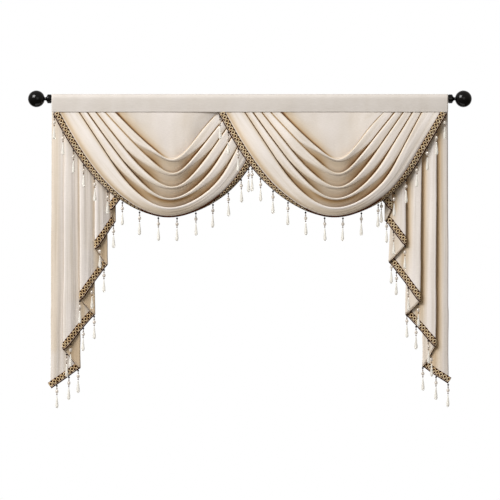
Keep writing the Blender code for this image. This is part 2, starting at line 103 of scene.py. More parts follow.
# The section of a fold, across from its lip to the next one and back from its
# front. The across is a share of the fold, of its roll and of the rest added up.
# The depths are those on the left arm and the right one, where a roll slopes away
# softly, and at the bottom, where its edge is turned under. The tints are painted
# shade in the crease: on the arms, at the bottom, and at the bottom of the deep last fold.
FOLD_PROFILE = (
    # of the fold, of the roll, of the rest, three depths, three painted shade tints
    (0.00, 0.00, 0.00, 0.32, 0.32, 0.30, 0.90, 0.50, 0.50),
    (0.03, 0.03, 0.00, 0.10, 0.08, 0.09, 0.30, 0.16, 0.06),
    (0.05, 0.12, 0.00, 0.01, 0.01, 0.00, 0.00, 0.12, 0.02),
    (0.03, 0.40, 0.00, 0.00, 0.09, 0.03, 0.03, 0.12, 0.02),
    (0.00, 0.75, 0.00, 0.05, 0.20, 0.08, 0.10, 0.15, 0.14),
    (0.00, 0.92, 0.00, 0.12, 0.27, 0.13, 0.20, 0.18, 0.50),
    (0.00, 1.00, 0.00, 0.18, 0.32, 0.18, 0.30, 0.22, 0.70),
    (0.00, 1.00, 0.15, 0.30, 0.40, 0.28, 0.42, 0.26, 0.72),
    (0.00, 1.00, 0.40, 0.50, 0.54, 0.45, 0.52, 0.28, 0.46),
    (0.00, 1.00, 0.70, 0.72, 0.73, 0.66, 0.66, 0.29, 0.28),
    (0.00, 1.00, 0.90, 0.87, 0.87, 0.81, 0.84, 0.32, 0.28),
    (0.00, 1.00, 1.00, 0.94, 0.94, 0.90, 1.00, 0.45, 0.45),
    (0.07, 1.00, 1.00, 0.98, 0.98, 0.98, 1.00, 0.90, 0.90),
    (0.11, 1.00, 1.00, 1.00, 1.00, 1.00, 1.00, 1.00, 1.00),
    (0.10, 1.00, 1.00, 0.87, 0.87, 0.87, 1.00, 1.00, 1.00),
    (0.05, 1.00, 1.00, 0.56, 0.56, 0.56, 1.00, 1.00, 1.00),
)
# How strong the crease over each fold line is, in depth and in painted shade, on the left arm and on the right one.
CREASE_STRENGTH = ((0.55, 0.9), (0.85, 1.0), (1.0, 1.0), (1.0, 1.0))
CREASE = 3.7  # mm of open crease that shows between two rolls on the arms
TOP_ROWS = (0.0, 0.10, 0.20, 0.30, 0.40)
TOP_EDGE = (
    # mm above the first lip, and the most of the height from lip to header
    (34.0, 0.50),
    (24.0, 0.40),
    (15.0, 0.30),
    (8.0, 0.20),
    (3.0, 0.10),
)
TOP_TUCK = (
    # mm past the first lip, share of the depth
    (1.5, 0.80),
    (6.0, 0.97),
    (13.0, 1.00),
    (18.0, 0.93),
    (13.0, 0.72),
    (6.0, 0.46),
)
HEM_FOLD = (
    # share of the way to the braid's band, share of the depth, share of the
    # belly on the left arm and on the right one
    (0.00, 0.26, 0.0, 0.0),
    (0.05, 0.06, 0.0, 0.1),
    (0.12, 0.00, 0.1, 0.35),
    (0.24, 0.00, 0.45, 0.75),
    (0.40, 0.00, 0.80, 1.0),
    (0.58, 0.00, 1.00, 1.00),
    (0.76, 0.00, 0.95, 0.95),
    (0.90, 0.00, 0.50, 0.70),
)
SWAG_COLUMNS = 232
FOLD_STEPS = 2

# Tails
TAIL_LEFT = (
    ("edge", -414.0, -412.5, -313.3),
    ("front", -450.0, -447.0, -352.6),
    ("back", -433.0, -430.4, -391.7),
    ("front", -499.2, -496.3, -478.1),
    ("back", -462.0, -456.3, -529.3),
    ("front", -546.9, -544.6, -641.3),
    ("back", -505.0, -497.0, -689.3),
    ("front", -592.3, -598.4, -801.3),
    ("back", -552.0, -543.4, -860.5),
    ("edge", -635.0, -638.7, -926.1),
)
TAIL_RIGHT = (
    ("edge", 421.0, 419.5, -316.5),
    ("front", 457.0, 454.4, -353.9),
    ("back", 436.0, 432.3, -388.5),
    ("front", 501.4, 498.9, -468.5),
    ("back", 470.0, 445.1, -519.7),
    ("front", 551.7, 545.6, -647.7),
    ("back", 508.0, 499.2, -689.3),
    ("front", 599.4, 595.2, -791.7),
    ("back", 560.0, 553.3, -855.7),
    ("edge", 634.5, 637.1, -910.1),
)
PLEAT_OPENING = (
    # height, front, back, front radius, back radius
    (-35.6, -3.5, 7.2, 1.5, 1.5),
    (-200.0, -4.5, 10.5, 2.2, 2.4),
    (-400.0, -5.5, 16.6, 2.6, 3.9),
    (-930.0, -6.0, 17.0, 3.0, 4.1),
)
PASSING = 2.2
NOSE = {1: 2.3, -1: 1.1}  # how long a fold's rounded front is, in radii, on each tail
ARC_STEPS, SPAN_STEPS = 8, 10
TAIL_ROWS = 96

# Braid
BRAID_WIDTH = 19.0
# where the hem is turned under, with a dark cord along it as painted shade
UNDER = {"swag_left": (0.41, 0.68), "swag_right": (0.41, 0.66)}  # where the hem is turned under
RING_PITCH = 14.0
RING_REACH = (4.9, 5.5)  # along and across
RING_SIDES = 16

# Where the drops hang, in mm: across from a swag's centre, or x and z on a tail
DROPS = {
    "swag_left": (-362, -333, -299, -267, -232, -190, -143, -88, -28, 32, 92, 147, 196, 237, 261),
    "swag_right": (-361, -334, -302, -258, -231, -191, -143, -87, -26, 33, 92, 146, 197, 235, 270, 303, 332, 360),
    "tail_left": (
        (-440.6, -397), (-485.8, -461), (-472.3, -538), (-508.5, -593), (-544.6, -636),
        (-500.5, -690), (-531.2, -731), (-575.0, -779), (-593.3, -817), (-550.1, -866), (-575.0, -893), (-616.6, -916),
    ),
    "tail_right": (
        (422.0, -318), (438.1, -382), (458.9, -421), (495.7, -467), (454.1, -513), (468.5, -551), (504.0, -601),
        (539.8, -651), (499.5, -681), (530.2, -726), (569.0, -770), (588.5, -813), (553.9, -855), (592.6, -892), (633.0, -913),
    ),
}


# --------------------------------------------------------------- curve helpers
def spline(knots, values):
    """The natural cubic spline through the values, for arrays."""
    t, v = np.asarray(knots, float), np.asarray(values, float)
    n, h = len(t), np.diff(t)
    a, b = np.eye(n), np.zeros(n)
    for i in range(1, n - 1):
        a[i, i - 1 : i + 2] = h[i - 1], 2 * (h[i - 1] + h[i]), h[i]
        b[i] = 6 * ((v[i + 1] - v[i]) / h[i] - (v[i] - v[i - 1]) / h[i - 1])
    m = np.linalg.solve(a, b)

    def at(x):
        x = np.clip(x, t[0], t[-1])
        i = np.clip(np.searchsorted(t, x) - 1, 0, n - 2)
        p, q = t[i + 1] - x, x - t[i]
        return (
            (m[i] * p**3 + m[i + 1] * q**3) / (6 * h[i])
            + (v[i] / h[i] - m[i] * h[i] / 6) * p
            + (v[i + 1] / h[i] - m[i + 1] * h[i] / 6) * q
        )

    return at


def eased(knots, values):
    t, v = np.asarray(knots, float), np.asarray(values, float)

    def at(x):
        x = np.clip(x, t[0], t[-1])
        i = np.clip(np.searchsorted(t, x) - 1, 0, len(t) - 2)
        f = (x - t[i]) / (t[i + 1] - t[i])
        return v[i] + (v[i + 1] - v[i]) * f * f * (3 - 2 * f)

    return at


def smooth(x, low, high):
    f = np.clip((x - low) / (high - low), 0.0, 1.0)
    return f * f * (3 - 2 * f)


def catmull(points, steps):
    """A smooth curve through the rows of points, steps to each stretch."""
    p = np.concatenate([2 * points[:1] - points[1:2], points, 2 * points[-1:] - points[-2:-1]])
    rows = []
    for i in range(1, len(p) - 2):
        for s in range(steps):
            f = s / steps
            rows.append(
                0.5
                * (
                    2 * p[i]
                    + (p[i + 1] - p[i - 1]) * f
                    + (2 * p[i - 1] - 5 * p[i] + 4 * p[i + 1] - p[i + 2]) * f * f
                    + (3 * p[i] - p[i - 1] - 3 * p[i + 1] + p[i + 2]) * f**3
                )
            )
    rows.append(p[-2])
    return np.array(rows)


def lengths(points):
    """Arc length at each point of a line."""
    return np.concatenate([[0.0], np.cumsum(np.linalg.norm(np.diff(points, axis=0), axis=1))])


def resampled(arrays, points, spacing):
    """The arrays, taken at even steps of the length of points."""
    s = lengths(points)
    new = np.linspace(0, s[-1], max(int(s[-1] / spacing), 2) + 1)
    return new, [
        np.stack([np.interp(new, s, a[:, c]) for c in range(a.shape[1])], axis=1) for a in arrays
    ]


def unit(v):
    return v / np.maximum(np.linalg.norm(v, axis=-1, keepdims=True), 1e-9)


def wander(seed, count, reach):
    """A smooth random line of the given count of points, about -1 to 1, whose
    swings are about reach points long."""
    rng = np.random.default_rng(seed)
    x = np.arange(count)
    total = np.zeros(count)
    for octave, share in ((1.0, 0.6), (0.47, 0.3), (0.23, 0.15)):
        total += share * np.sin(x / (reach * octave) * 2 * math.pi + rng.uniform(0, 6.28)) * (
            0.7 + 0.3 * np.sin(x / (reach * octave * 2.7) + rng.uniform(0, 6.28))
        )
    return total


# ---------------------------------------------------------------- mesh helpers
def mesh_object(name, points, faces, material, uv=None, values=None, smooth_shade=True, folds=None):
    """A mesh from points in mm. uv is one pair a point, in metres, and so is
    folds, which follows the folds; values holds numbers for each point by name."""
    mesh = bpy.data.meshes.new(name)
    mesh.from_pydata((np.asarray(points) * MM).tolist(), [], faces)
    mesh.materials.append(material)
    for title, pairs in (("UVMap", uv), ("Folds", folds)):
        if pairs is not None:
            layer = mesh.uv_layers.new(name=title)
            corner = np.empty(len(mesh.loops), np.int32)
            mesh.loops.foreach_get("vertex_index", corner)
            layer.data.foreach_set("uv", np.asarray(pairs, np.float32)[corner].ravel())
    for key, numbers in (values or {}).items():
        made = mesh.attributes.new(key, "FLOAT", "POINT")
        made.data.foreach_set("value", np.asarray(numbers, np.float32).ravel())
    if smooth_shade:
        mesh.shade_smooth()
    mesh.update()
    made = bpy.data.objects.new(name, mesh)
    bpy.context.scene.collection.objects.link(made)
    return made


def grid_faces(rows, columns, offset=0, wrap=False):
    r, c = np.meshgrid(
        np.arange(rows - 1), np.arange(columns if wrap else columns - 1), indexing="ij"
    )
    a = offset + r * columns + c
    b = offset + r * columns + (c + 1) % columns
    return np.stack([a, a + columns, b + columns, b], axis=-1).reshape(-1, 4)


def sheet_object(name, grid, material, thickness, values=None):
    """A sheet through a grid of points, with a UV map in metres of cloth."""
    rows, columns, _ = grid.shape
    down = np.concatenate(
        [np.zeros((1, columns)), np.cumsum(np.linalg.norm(np.diff(grid, axis=0), axis=2), axis=0)]
    )
    over = np.concatenate(
        [np.zeros((rows, 1)), np.cumsum(np.linalg.norm(np.diff(grid, axis=1), axis=2), axis=1)],
        axis=1,
    )
    over = np.broadcast_to(over.mean(axis=0), over.shape)
    uv = np.stack([over, down], axis=-1).reshape(-1, 2) * MM
    steps = np.diff(down.mean(axis=1), prepend=0.0)
    steps[: 2 * len(TOP_ROWS + TOP_EDGE)] *= 0.10  # the flat top has no folds to follow
    steps = np.broadcast_to(np.cumsum(steps)[:, None], down.shape)
    folds = np.stack([over, steps], axis=-1).reshape(-1, 2) * MM
    faces = grid_faces(rows, columns).tolist()
    made = mesh_object(
        name, grid.reshape(-1, 3), faces, material, uv, values, True, folds if values else None
    )
    thick = made.modifiers.new("thickness", "SOLIDIFY")
    thick.thickness = thickness * MM
    thick.offset = 0.0
    return made


class Pile:
    """Points and faces gathered for one piece."""

    def __init__(self):
        self.points, self.faces, self.uv, self.count = [], [], [], 0

    def add(self, points, faces, uv=None):
        self.points.append(points)
        self.uv.append(np.zeros((len(points), 2)) if uv is None else uv)
        self.faces += [[i + self.count for i in face] for face in faces]
        self.count += len(points)

    def piece(self, name, material, smooth_shade=True):
        return mesh_object(
            name,
            np.concatenate(self.points),
            self.faces,
            material,
            np.concatenate(self.uv),
            None,
            smooth_shade,
        )


def tube(line, side, normal, wide, high, sides=6):
    """A cord along a line: an oval of half-width wide and half-height high."""
    n = len(line)
    angles = 2 * math.pi * np.arange(sides) / sides
    ring = (
        side[:, None, :] * (np.cos(angles)[None, :, None] * wide)
        + normal[:, None, :] * (np.sin(angles)[None, :, None] * high)
    )
    points = (line[:, None, :] + ring).reshape(-1, 3)
    s = lengths(line) * MM
    uv = np.stack(
        [np.repeat(s, sides), np.tile(np.arange(sides) / sides, n)], axis=1
    )
    faces = [face[::-1] for face in grid_faces(n, sides, 0, True).tolist()]
    faces.append(list(range(sides)))
    faces.append(list(range((n - 1) * sides, n * sides))[::-1])
    return points, faces, uv


def ring_tube(loop, up, wide, high, sides=6):
    """A closed cord round a loop of points, up the way out of the cloth."""
    along = unit(np.roll(loop, -1, axis=0) - np.roll(loop, 1, axis=0))
    side = unit(np.cross(up, along))
    angles = 2 * math.pi * np.arange(sides) / sides
    ring = (
        side[:, None, :] * (np.cos(angles)[None, :, None] * wide)
        + up[:, None, :] * (np.sin(angles)[None, :, None] * high)
    )
    n = len(loop)
    faces = np.concatenate([grid_faces(n, sides, 0, True), [
        [(n - 1) * sides + c, c, (c + 1) % sides, (n - 1) * sides + (c + 1) % sides] for c in range(sides)
    ]])
    step = np.linalg.norm(loop[1] - loop[0])
    uv = np.stack([np.repeat(np.arange(n) * step * MM, sides), np.tile(np.arange(sides) / sides, n)], axis=1)
    return (loop[:, None, :] + ring).reshape(-1, 3), [f[::-1] for f in faces.tolist()], uv


def lathe(profile, sides, twist=0.0):
    """A turned form down from the origin: profile is (down, radius) in mm."""
    points, faces = [], []
    for i, (down, radius) in enumerate(profile):
        a = 2 * math.pi * (np.arange(sides) + twist * (i % 2)) / sides
        points.append(np.stack([radius * np.cos(a), radius * np.sin(a), np.full(sides, -down)], axis=1))
    faces = grid_faces(len(profile), sides, 0, True).tolist()
    faces.append(list(range(sides))[::-1])
    faces.append(list(range((len(profile) - 1) * sides, len(profile) * sides)))
    return np.concatenate(points), faces


# ------------------------------------------------------------------- materials
def node_material(name):
    made = bpy.data.materials.new(name)
    made.use_nodes = True
    return made, made.node_tree, made.node_tree.nodes["Principled BSDF"]


def put(tree, kind, **inputs):
    node = tree.nodes.new(kind)
    for key, value in inputs.items():
        node.inputs[key.replace("_", " ")].default_value = value
    return node


def ramp(tree, source, stops):
    node = tree.nodes.new("ShaderNodeValToRGB")
    tree.links.new(source, node.inputs["Fac"])
    elements = node.color_ramp.elements
    while len(elements) < len(stops):
        elements.new(0.5)
    for element, (place, colour) in zip(elements, stops):
        element.position = place
        element.color = (*colour, 1.0)
    return node


def mixed(tree, kind, factor, a, b):
    """A colour mix; factor, a and b are sockets or values."""
    node = tree.nodes.new("ShaderNodeMix")
    node.data_type = "RGBA"
    node.blend_type = kind
    for socket, value in ((node.inputs[0], factor), (node.inputs[6], a), (node.inputs[7], b)):
        if isinstance(value, bpy.types.NodeSocket):
            tree.links.new(value, socket)
        else:
            socket.default_value = value if isinstance(value, float) else (*value, 1.0)
    return node.outputs[2]


def scaled(tree, source, scale):
    node = tree.nodes.new("ShaderNodeMapping")
    node.inputs["Scale"].default_value = scale
    tree.links.new(source, node.inputs["Vector"])
    return node.outputs[0]


def satin(name, light, roughness, patches, streaks):
    """Satin-weave cloth: painted shade, tan to dark brown, in its creases, some painted
    light, painted sheen in long soft streaks along its folds, fine slubs along the thread and a weave that shows close
    by."""
    made, tree, shader = node_material(name)
    links = tree.links
    uv = tree.nodes.new("ShaderNodeUVMap")
    uv.uv_map = "UVMap"
    place = tree.nodes.new("ShaderNodeTexCoord").outputs["Object"]

    painted_shading = tree.nodes.new("ShaderNodeAttribute")
    painted_shading.attribute_name = "painted_shading"
    # painted shading: under 0.08 a painted lighter tint, over it painted shade from tan to dark brown in the creases
    tint = ramp(
        tree,
        painted_shading.outputs["Fac"],
        (
            (0.0, tuple(c * 1.10 for c in light)),
            (0.08, light),
            (0.31, (light[0] * 0.90, light[1] * 0.83, light[2] * 0.71)),
            (0.54, (0.58, 0.425, 0.255)),
            (0.77, (0.395, 0.23, 0.100)),
            (1.0, (0.118, 0.047, 0.013)),
        ),
    )
    colour = tint.outputs[0]

    # painted sheen: long streaks along the folds, lighter and darker, and a soft bump from the same noise
    folds = tree.nodes.new("ShaderNodeUVMap")
    folds.uv_map = "Folds"
    streak = put(tree, "ShaderNodeTexNoise", Scale=1.0, Detail=2.0, Roughness=0.5)
    links.new(scaled(tree, folds.outputs[0], (*streaks[:2], 1.0)), streak.inputs["Vector"])
    swing = streaks[2]
    painted_sheen_streaks = ramp(
        tree,
        streak.outputs["Fac"],
        (
            (0.38, (1 - 0.070 * swing, 1 - 0.085 * swing, 1 - 0.115 * swing)),
            (0.50, (1.0, 1.0, 1.0)),
            (0.62, (1 + 0.035 * swing, 1 + 0.040 * swing, 1 + 0.060 * swing)),
        ),
    )
    colour = mixed(tree, "MULTIPLY", 1.0, colour, painted_sheen_streaks.outputs[0])

    slub = put(tree, "ShaderNodeTexNoise", Scale=1.0, Detail=3.0, Roughness=0.6)
    links.new(scaled(tree, uv.outputs[0], (60.0, 420.0, 1.0)), slub.inputs["Vector"])
    slubs = ramp(tree, slub.outputs["Fac"], ((0.30, (0.955, 0.95, 0.94)), (0.68, (1.02, 1.02, 1.02))))
    colour = mixed(tree, "MULTIPLY", 1.0, colour, slubs.outputs[0])

    patch = put(tree, "ShaderNodeTexNoise", Scale=patches, Detail=4.0, Roughness=0.55)
    links.new(place, patch.inputs["Vector"])
    patchy = ramp(tree, patch.outputs["Fac"], ((0.32, (0.965, 0.96, 0.95)), (0.66, (1.02, 1.02, 1.02))))
    colour = mixed(tree, "MULTIPLY", 1.0, colour, patchy.outputs[0])
    links.new(colour, shader.inputs["Base Color"])

    weave = put(tree, "ShaderNodeTexWave", Scale=1.0, Distortion=0.6, Detail=1.0)
    weave.bands_direction = "X"
    links.new(scaled(tree, uv.outputs[0], (360.0, 360.0, 1.0)), weave.inputs["Vector"])
    weft = put(tree, "ShaderNodeTexWave", Scale=1.0, Distortion=0.6, Detail=1.0)
    weft.bands_direction = "Y"
    links.new(scaled(tree, uv.outputs[0], (520.0, 520.0, 1.0)), weft.inputs["Vector"])
    both = tree.nodes.new("ShaderNodeMath")
    both.operation = "ADD"
    links.new(weave.outputs["Fac"], both.inputs[0])
    links.new(weft.outputs["Fac"], both.inputs[1])
    fine = put(tree, "ShaderNodeBump", Strength=0.12, Distance=0.0002)
    links.new(both.outputs[0], fine.inputs["Height"])
    soft = put(tree, "ShaderNodeBump", Strength=0.3, Distance=0.001)
    links.new(slub.outputs["Fac"], soft.inputs["Height"])
    links.new(fine.outputs[0], soft.inputs["Normal"])
    long = put(tree, "ShaderNodeBump", Strength=0.5 * swing, Distance=0.0035)
    links.new(streak.outputs["Fac"], long.inputs["Height"])
    links.new(soft.outputs[0], long.inputs["Normal"])
    links.new(long.outputs[0], shader.inputs["Normal"])

    rough = ramp(
        tree, slub.outputs["Fac"], ((0.2, (roughness - 0.06,) * 3), (0.8, (roughness + 0.06,) * 3))
    )
    links.new(rough.outputs[0], shader.inputs["Roughness"])
    shader.inputs["Sheen Weight"].default_value = 0.10
    shader.inputs["Sheen Roughness"].default_value = 0.45
    shader.inputs["Specular IOR Level"].default_value = 0.32
    return made


def cord_material(name, low, high, roughness, metallic, strands, gloss=0.5):
    """A twisted thread cord: its UV runs along the cord and round it."""
    made, tree, shader = node_material(name)
    links = tree.links
    uv = tree.nodes.new("ShaderNodeUVMap")
    uv.uv_map = "UVMap"
    wave = put(tree, "ShaderNodeTexWave", Scale=1.0, Distortion=0.4, Detail=1.0)
    wave.bands_direction = "DIAGONAL"
    links.new(scaled(tree, uv.outputs[0], (strands, 1.0, 1.0)), wave.inputs["Vector"])
    noise = put(tree, "ShaderNodeTexNoise", Scale=140.0, Detail=3.0)
    links.new(tree.nodes.new("ShaderNodeTexCoord").outputs["Object"], noise.inputs["Vector"])
    base = ramp(tree, noise.outputs["Fac"], ((0.34, low), (0.62, high)))
    # painted shade in the grooves of the twist, where the same wave bumps in
    groove = ramp(tree, wave.outputs["Fac"], ((0.0, (0.55, 0.5, 0.45)), (0.45, (1.0, 1.0, 1.0))))
    links.new(
        mixed(tree, "MULTIPLY", 0.7, base.outputs[0], groove.outputs[0]), shader.inputs["Base Color"]
    )
    bump = put(tree, "ShaderNodeBump", Strength=0.6, Distance=0.0004)
    links.new(wave.outputs["Fac"], bump.inputs["Height"])
    links.new(bump.outputs[0], shader.inputs["Normal"])
    shader.inputs["Roughness"].default_value = roughness
    shader.inputs["Metallic"].default_value = metallic
    shader.inputs["Specular IOR Level"].default_value = gloss
    shader.inputs["Sheen Weight"].default_value = 0.1 if gloss == 0.5 else 0.0
    return made


def bead_material(name, colour, roughness, bend, see_through):
    """Clear or tinted cut acrylic: part of what is behind shows through."""
    made, tree, shader = node_material(name)
    noise = put(tree, "ShaderNodeTexNoise", Scale=260.0, Detail=1.0)
    tree.links.new(tree.nodes.new("ShaderNodeTexCoord").outputs["Object"], noise.inputs["Vector"])
    tint = ramp(
        tree,
        noise.outputs["Fac"],
        ((0.3, tuple(c * 0.90 for c in colour)), (0.7, tuple(min(c * 1.06, 1.0) for c in colour))),
    )
    tree.links.new(tint.outputs[0], shader.inputs["Base Color"])
    shader.inputs["Roughness"].default_value = roughness
    shader.inputs["IOR"].default_value = bend
    shader.inputs["Transmission Weight"].default_value = see_through
    shader.inputs["Specular IOR Level"].default_value = 0.3
    return made


def black_material(name):
    made, tree, shader = node_material(name)
    place = tree.nodes.new("ShaderNodeTexCoord").outputs["Object"]
    noise = put(tree, "ShaderNodeTexNoise", Scale=55.0, Detail=4.0)
    tree.links.new(place, noise.inputs["Vector"])
    tint = ramp(tree, noise.outputs["Fac"], ((0.3, (0.0018, 0.0017, 0.0018)), (0.75, (0.0042, 0.0040, 0.0040))))
    tree.links.new(tint.outputs[0], shader.inputs["Base Color"])
    rough = ramp(tree, noise.outputs["Fac"], ((0.25, (0.12,) * 3), (0.8, (0.18,) * 3)))
    tree.links.new(rough.outputs[0], shader.inputs["Roughness"])
    shader.inputs["Specular IOR Level"].default_value = 0.32
    return made


SATIN = satin("satin", (0.80, 0.745, 0.695), 0.48, 9.0, (5.0, 75.0, 1.0))
SATIN_DOWN = satin("satin_down", (0.80, 0.75, 0.71), 0.48, 9.0, (80.0, 3.0, 1.0))
# the header's satin is a darker copy of the swags' one: painted shade for its flat front
HEADER_CLOTH = satin("header_cloth", (0.69, 0.650, 0.612), 0.55, 14.0, (14.0, 4.0, 0.35))
GOLD = cord_material("gimp_gold", (0.76, 0.51, 0.25), (1.0, 0.88, 0.62), 0.45, 0.0, 900.0, 0.3)
OLD_GOLD = cord_material("gimp_old_gold", (0.68, 0.42, 0.18), (0.98, 0.80, 0.50), 0.45, 0.0, 900.0, 0.3)
CREAM = cord_material("gimp_cream", (0.80, 0.60, 0.42), (1.0, 0.86, 0.68), 0.5, 0.0, 800.0)
TAN = cord_material("gimp_tan", (0.085, 0.032, 0.009), (0.19, 0.088, 0.026), 0.8, 0.0, 1200.0, 0.04)
BROWN = cord_material("gimp_brown", (0.032, 0.008, 0.002), (0.075, 0.022, 0.007), 0.9, 0.0, 1200.0, 0.02)
CLEAR = bead_material("bead_clear", (0.98, 0.94, 0.88), 0.03, 1.62, 0.36)
CRYSTAL = bead_material("bead_crystal", (0.86, 0.79, 0.71), 0.03, 1.80, 0.5)
SMALL = bead_material("bead_small", (0.26, 0.17, 0.10), 0.12, 1.49, 0.2)
DARK = bead_material("bead_dark", (0.014, 0.007, 0.004), 0.3, 1.49, 0.0)
BLACK = black_material("gloss_black")


# ----------------------------------------------------------------------- swags
def swag_lines(name, t):
    """The six fold lines of a swag at t, its lips and its hem: x, y, z in mm,
    without the swag's centre or its set-back."""
    u = np.clip(t, -1.0, 1.0)
    share = spline(ALONG, DROP_SHARE)(u)
    lines = []
    sag = 1.0 - smooth(np.abs(u), 0.04, 0.34)
    for drop_and_across, (a, b, c, d), lower in zip(FOLD_LINES, FOLD_FRONTS, LIP_SAG):
        x = spline(ALONG, drop_and_across[1:])(u)
        y = -spline(ALONG, (a, b, c, d, c, b, a))(u)
        z = np.where(np.abs(t) > 1.0, SWAG_TOP, HEADER_LIP - drop_and_across[0] * share - lower * sag)
        lines.append(np.stack([x, y, z], axis=1))
    return lines


def swag_sheet(name):
    """The grid of points of a swag, rows from the header to the hem, and the painted shading
    of each: painted shade and shadow, some painted light. The last rows are the band under the braid."""
    t = np.concatenate([[-1.03], np.linspace(-1.0, 1.0, SWAG_COLUMNS), [1.03]])
    u = np.clip(t, -1.0, 1.0)
    lines = swag_lines(name, t)
    tuck, depth = spline(ALONG, TUCK)(u), spline(ALONG, FOLD_DEPTH)(u)
    back = eased(ALONG, SET_BACK[name])(u)
    controls, painted_shadings = [], []

    def add(x, y, z, painted_shading):
        controls.append(np.stack([x, y, z], axis=1))
        painted_shadings.append(np.broadcast_to(np.asarray(painted_shading, float), x.shape))

    bottom, right = 1.0 - smooth(np.abs(u), 0.08, 0.28), smooth(u, 0.0, 0.36)
    right_arm = right * (1.0 - bottom)
    lip = lines[0]
    # painted cast shadow mask: full where the left arm's first lip shades the flat top, faint on the right
    shaded = 1.0 - 0.90 * smooth(u, -0.32, 0.05)  # the left arm stands in the light's way
    tangent = unit(np.gradient(lip[:, [0, 2]], axis=0))
    high = SWAG_TOP - lip[:, 2]
    overs = [np.full(len(u), over) for over in TOP_ROWS]
    overs += [1.0 - np.minimum(near / high, most) for near, most in TOP_EDGE]
    even = np.interp(u, ALONG, SET_BACK[name])
    for over in overs:
        share = np.where(back > 0, over, over**3)
        level = back + (np.where(back > 0, even, back) - back) * (1.0 - over)
        off = (1.0 - over) * high * np.abs(tangent[:, 0])
        # the last value below: painted light on the set-back right part, and painted shadow falling off from the first
        # lip
        add(
            lip[:, 0] * (0.95 + 0.05 * over),
            TOP_PLANE + level * share,
            SWAG_TOP + (lip[:, 2] - SWAG_TOP) * over,
            -0.08 * np.maximum(smooth(np.maximum(back, 0.0), 2.0, 10.0), smooth(u, 0.08, 0.40)) + shaded * (0.62 * (1.0 - smooth(off, 1.5, 8.0)) + 0.42 * (1.0 - smooth(off, 3.0, 38.0))),
        )
    step = lines[1] - lip
    apart = np.hypot(step[:, 0], step[:, 2])
    # painted shade in the tuck behind the first lip
    for past, behind in TOP_TUCK:
        out = past * tuck / apart
        add(
            lip[:, 0] + step[:, 0] * out,
            lip[:, 1] + depth * behind + back,
            lip[:, 2] + step[:, 2] * out,
            0.10 + 0.90 * shaded + 0.8 * (1.0 - shaded) * smooth(past, 1.0, 10.0),
        )
    for k in range(4):
        a, b = lines[k], lines[k + 1]
        step = b - a
        way = unit(np.gradient(b[:, [0, 2]], axis=0))
        across = np.abs(step[:, 0] * way[:, 1] - step[:, 2] * way[:, 0])
        roll = np.minimum(spline(ALONG, ROLL_SHARE[k])(u), 1.0 - CREASE / across)
        roll = np.clip(roll, 0.12, 0.97)
        on_left, on_right = CREASE_STRENGTH[k]
        strength = 1.0 + (on_left + (on_right - on_left) * right - 1.0) * smooth(np.abs(u), 0.22, 0.55)
        for of_fold, of_roll, of_rest, *depths, on_arm, at_bottom, last in FOLD_PROFILE:
            behind = depths[0] + (depths[1] - depths[0]) * right
            behind += (depths[2] - behind) * bottom
            over = of_fold + roll * of_roll + (1 - roll) * of_rest
            over = np.where(over > 1, 1 + (over - 1) * tuck, over)
            left = np.maximum(1.0 - over, 0.0) * across
            # painted shade, darkest just before the next lip's crease; the last term is painted light on the right
            # arms' rolls
            near = 1.0 - smooth(left - 0.3 * right_arm, 2.8, 6.5)
            dark = np.maximum(on_arm * (1.0 - 0.12 * right_arm), near) if of_rest > 0 else on_arm
            add(
                a[:, 0] + (b[:, 0] - a[:, 0]) * over,
                a[:, 1] + (b[:, 1] - a[:, 1]) * np.minimum(over, 1.0) + depth * behind * strength + back,
                a[:, 2] + (b[:, 2] - a[:, 2]) * over,
                (dark + ((last if k == 3 else at_bottom) - dark) * bottom) * strength * (1.0 - 0.12 * right_arm)
                - (0.0 if of_rest else 0.07) * right_arm,
            )
    a, b = lines[4], lines[5]
    turned = np.radians(spline(ALONG, HEM_TURN)(u))
    belly = eased(ALONG, HEM_BELLY)(u)
    wide = np.hypot(b[:, 0] - a[:, 0], b[:, 2] - a[:, 2])
    start = 1.0 - BRAID_WIDTH * np.cos(turned) / wide
    # the last value of each row: painted shade under the last lip, on the turned-down bottom and near the braid on the
    # left arm, and painted light on the right arm
    for over, behind, left_swell, right_swell in HEM_FOLD:
        swell = left_swell + (right_swell - left_swell) * right
        add(
            a[:, 0] + (b[:, 0] - a[:, 0]) * over * start,
            a[:, 1] + (b[:, 1] - a[:, 1]) * over + depth * behind - belly * swell + back,
            a[:, 2] + (b[:, 2] - a[:, 2]) * over * start,
            smooth(behind, 0.1, 0.8) * 0.6
            + 0.24 * bottom * smooth(over, 0.16, 0.45)
            + (0.10 * (1.0 - right) - 0.09 * right) * (1.0 - bottom) * smooth(over, 0.25, 0.95)
            + 0.34 * (1.0 - right) * (1.0 - bottom) * smooth(over, 0.60, 0.9)
            + 0.40 * (1.0 - bottom) * (1.0 - smooth(over, 0.0, 0.1)),
        )
    for over in (0.0, 0.33, 0.67, 1.0):
        part = start + (1 - start) * over
        add(
            a[:, 0] + (b[:, 0] - a[:, 0]) * part,
            b[:, 1] + BRAID_WIDTH * np.sin(turned) * over + back,
            a[:, 2] + (b[:, 2] - a[:, 2]) * part,
            0.0,
        )
    grid = catmull(np.array(controls), FOLD_STEPS)
    painted_shading = catmull(np.array(painted_shadings)[:, :, None], FOLD_STEPS)[:, :, 0]
    grid[:, :, 0] += SWAG_CENTRES[name]
    return grid, np.clip(painted_shading, -0.08, 1.0)


# ----------------------------------------------------------------------- tails
def opening_at(z):
    heights = [-row[0] for row in PLEAT_OPENING]
    return [np.interp(-z, heights, [row[i] for row in PLEAT_OPENING]) for i in (1, 2, 3, 4)]


def hermite(a, b, slope_a, slope_b, steps):
    """y over x between two points with the slopes given, steps points after a."""
    f = np.arange(1, steps + 1) / steps
    dx = b[0] - a[0]
    y = (
        (2 * f**3 - 3 * f**2 + 1) * a[1]
        + (f**3 - 2 * f**2 + f) * dx * slope_a
        + (-2 * f**3 + 3 * f**2) * b[1]
        + (f**3 - f**2) * dx * slope_b
    )
    return list(zip(a[0] + dx * f, y))


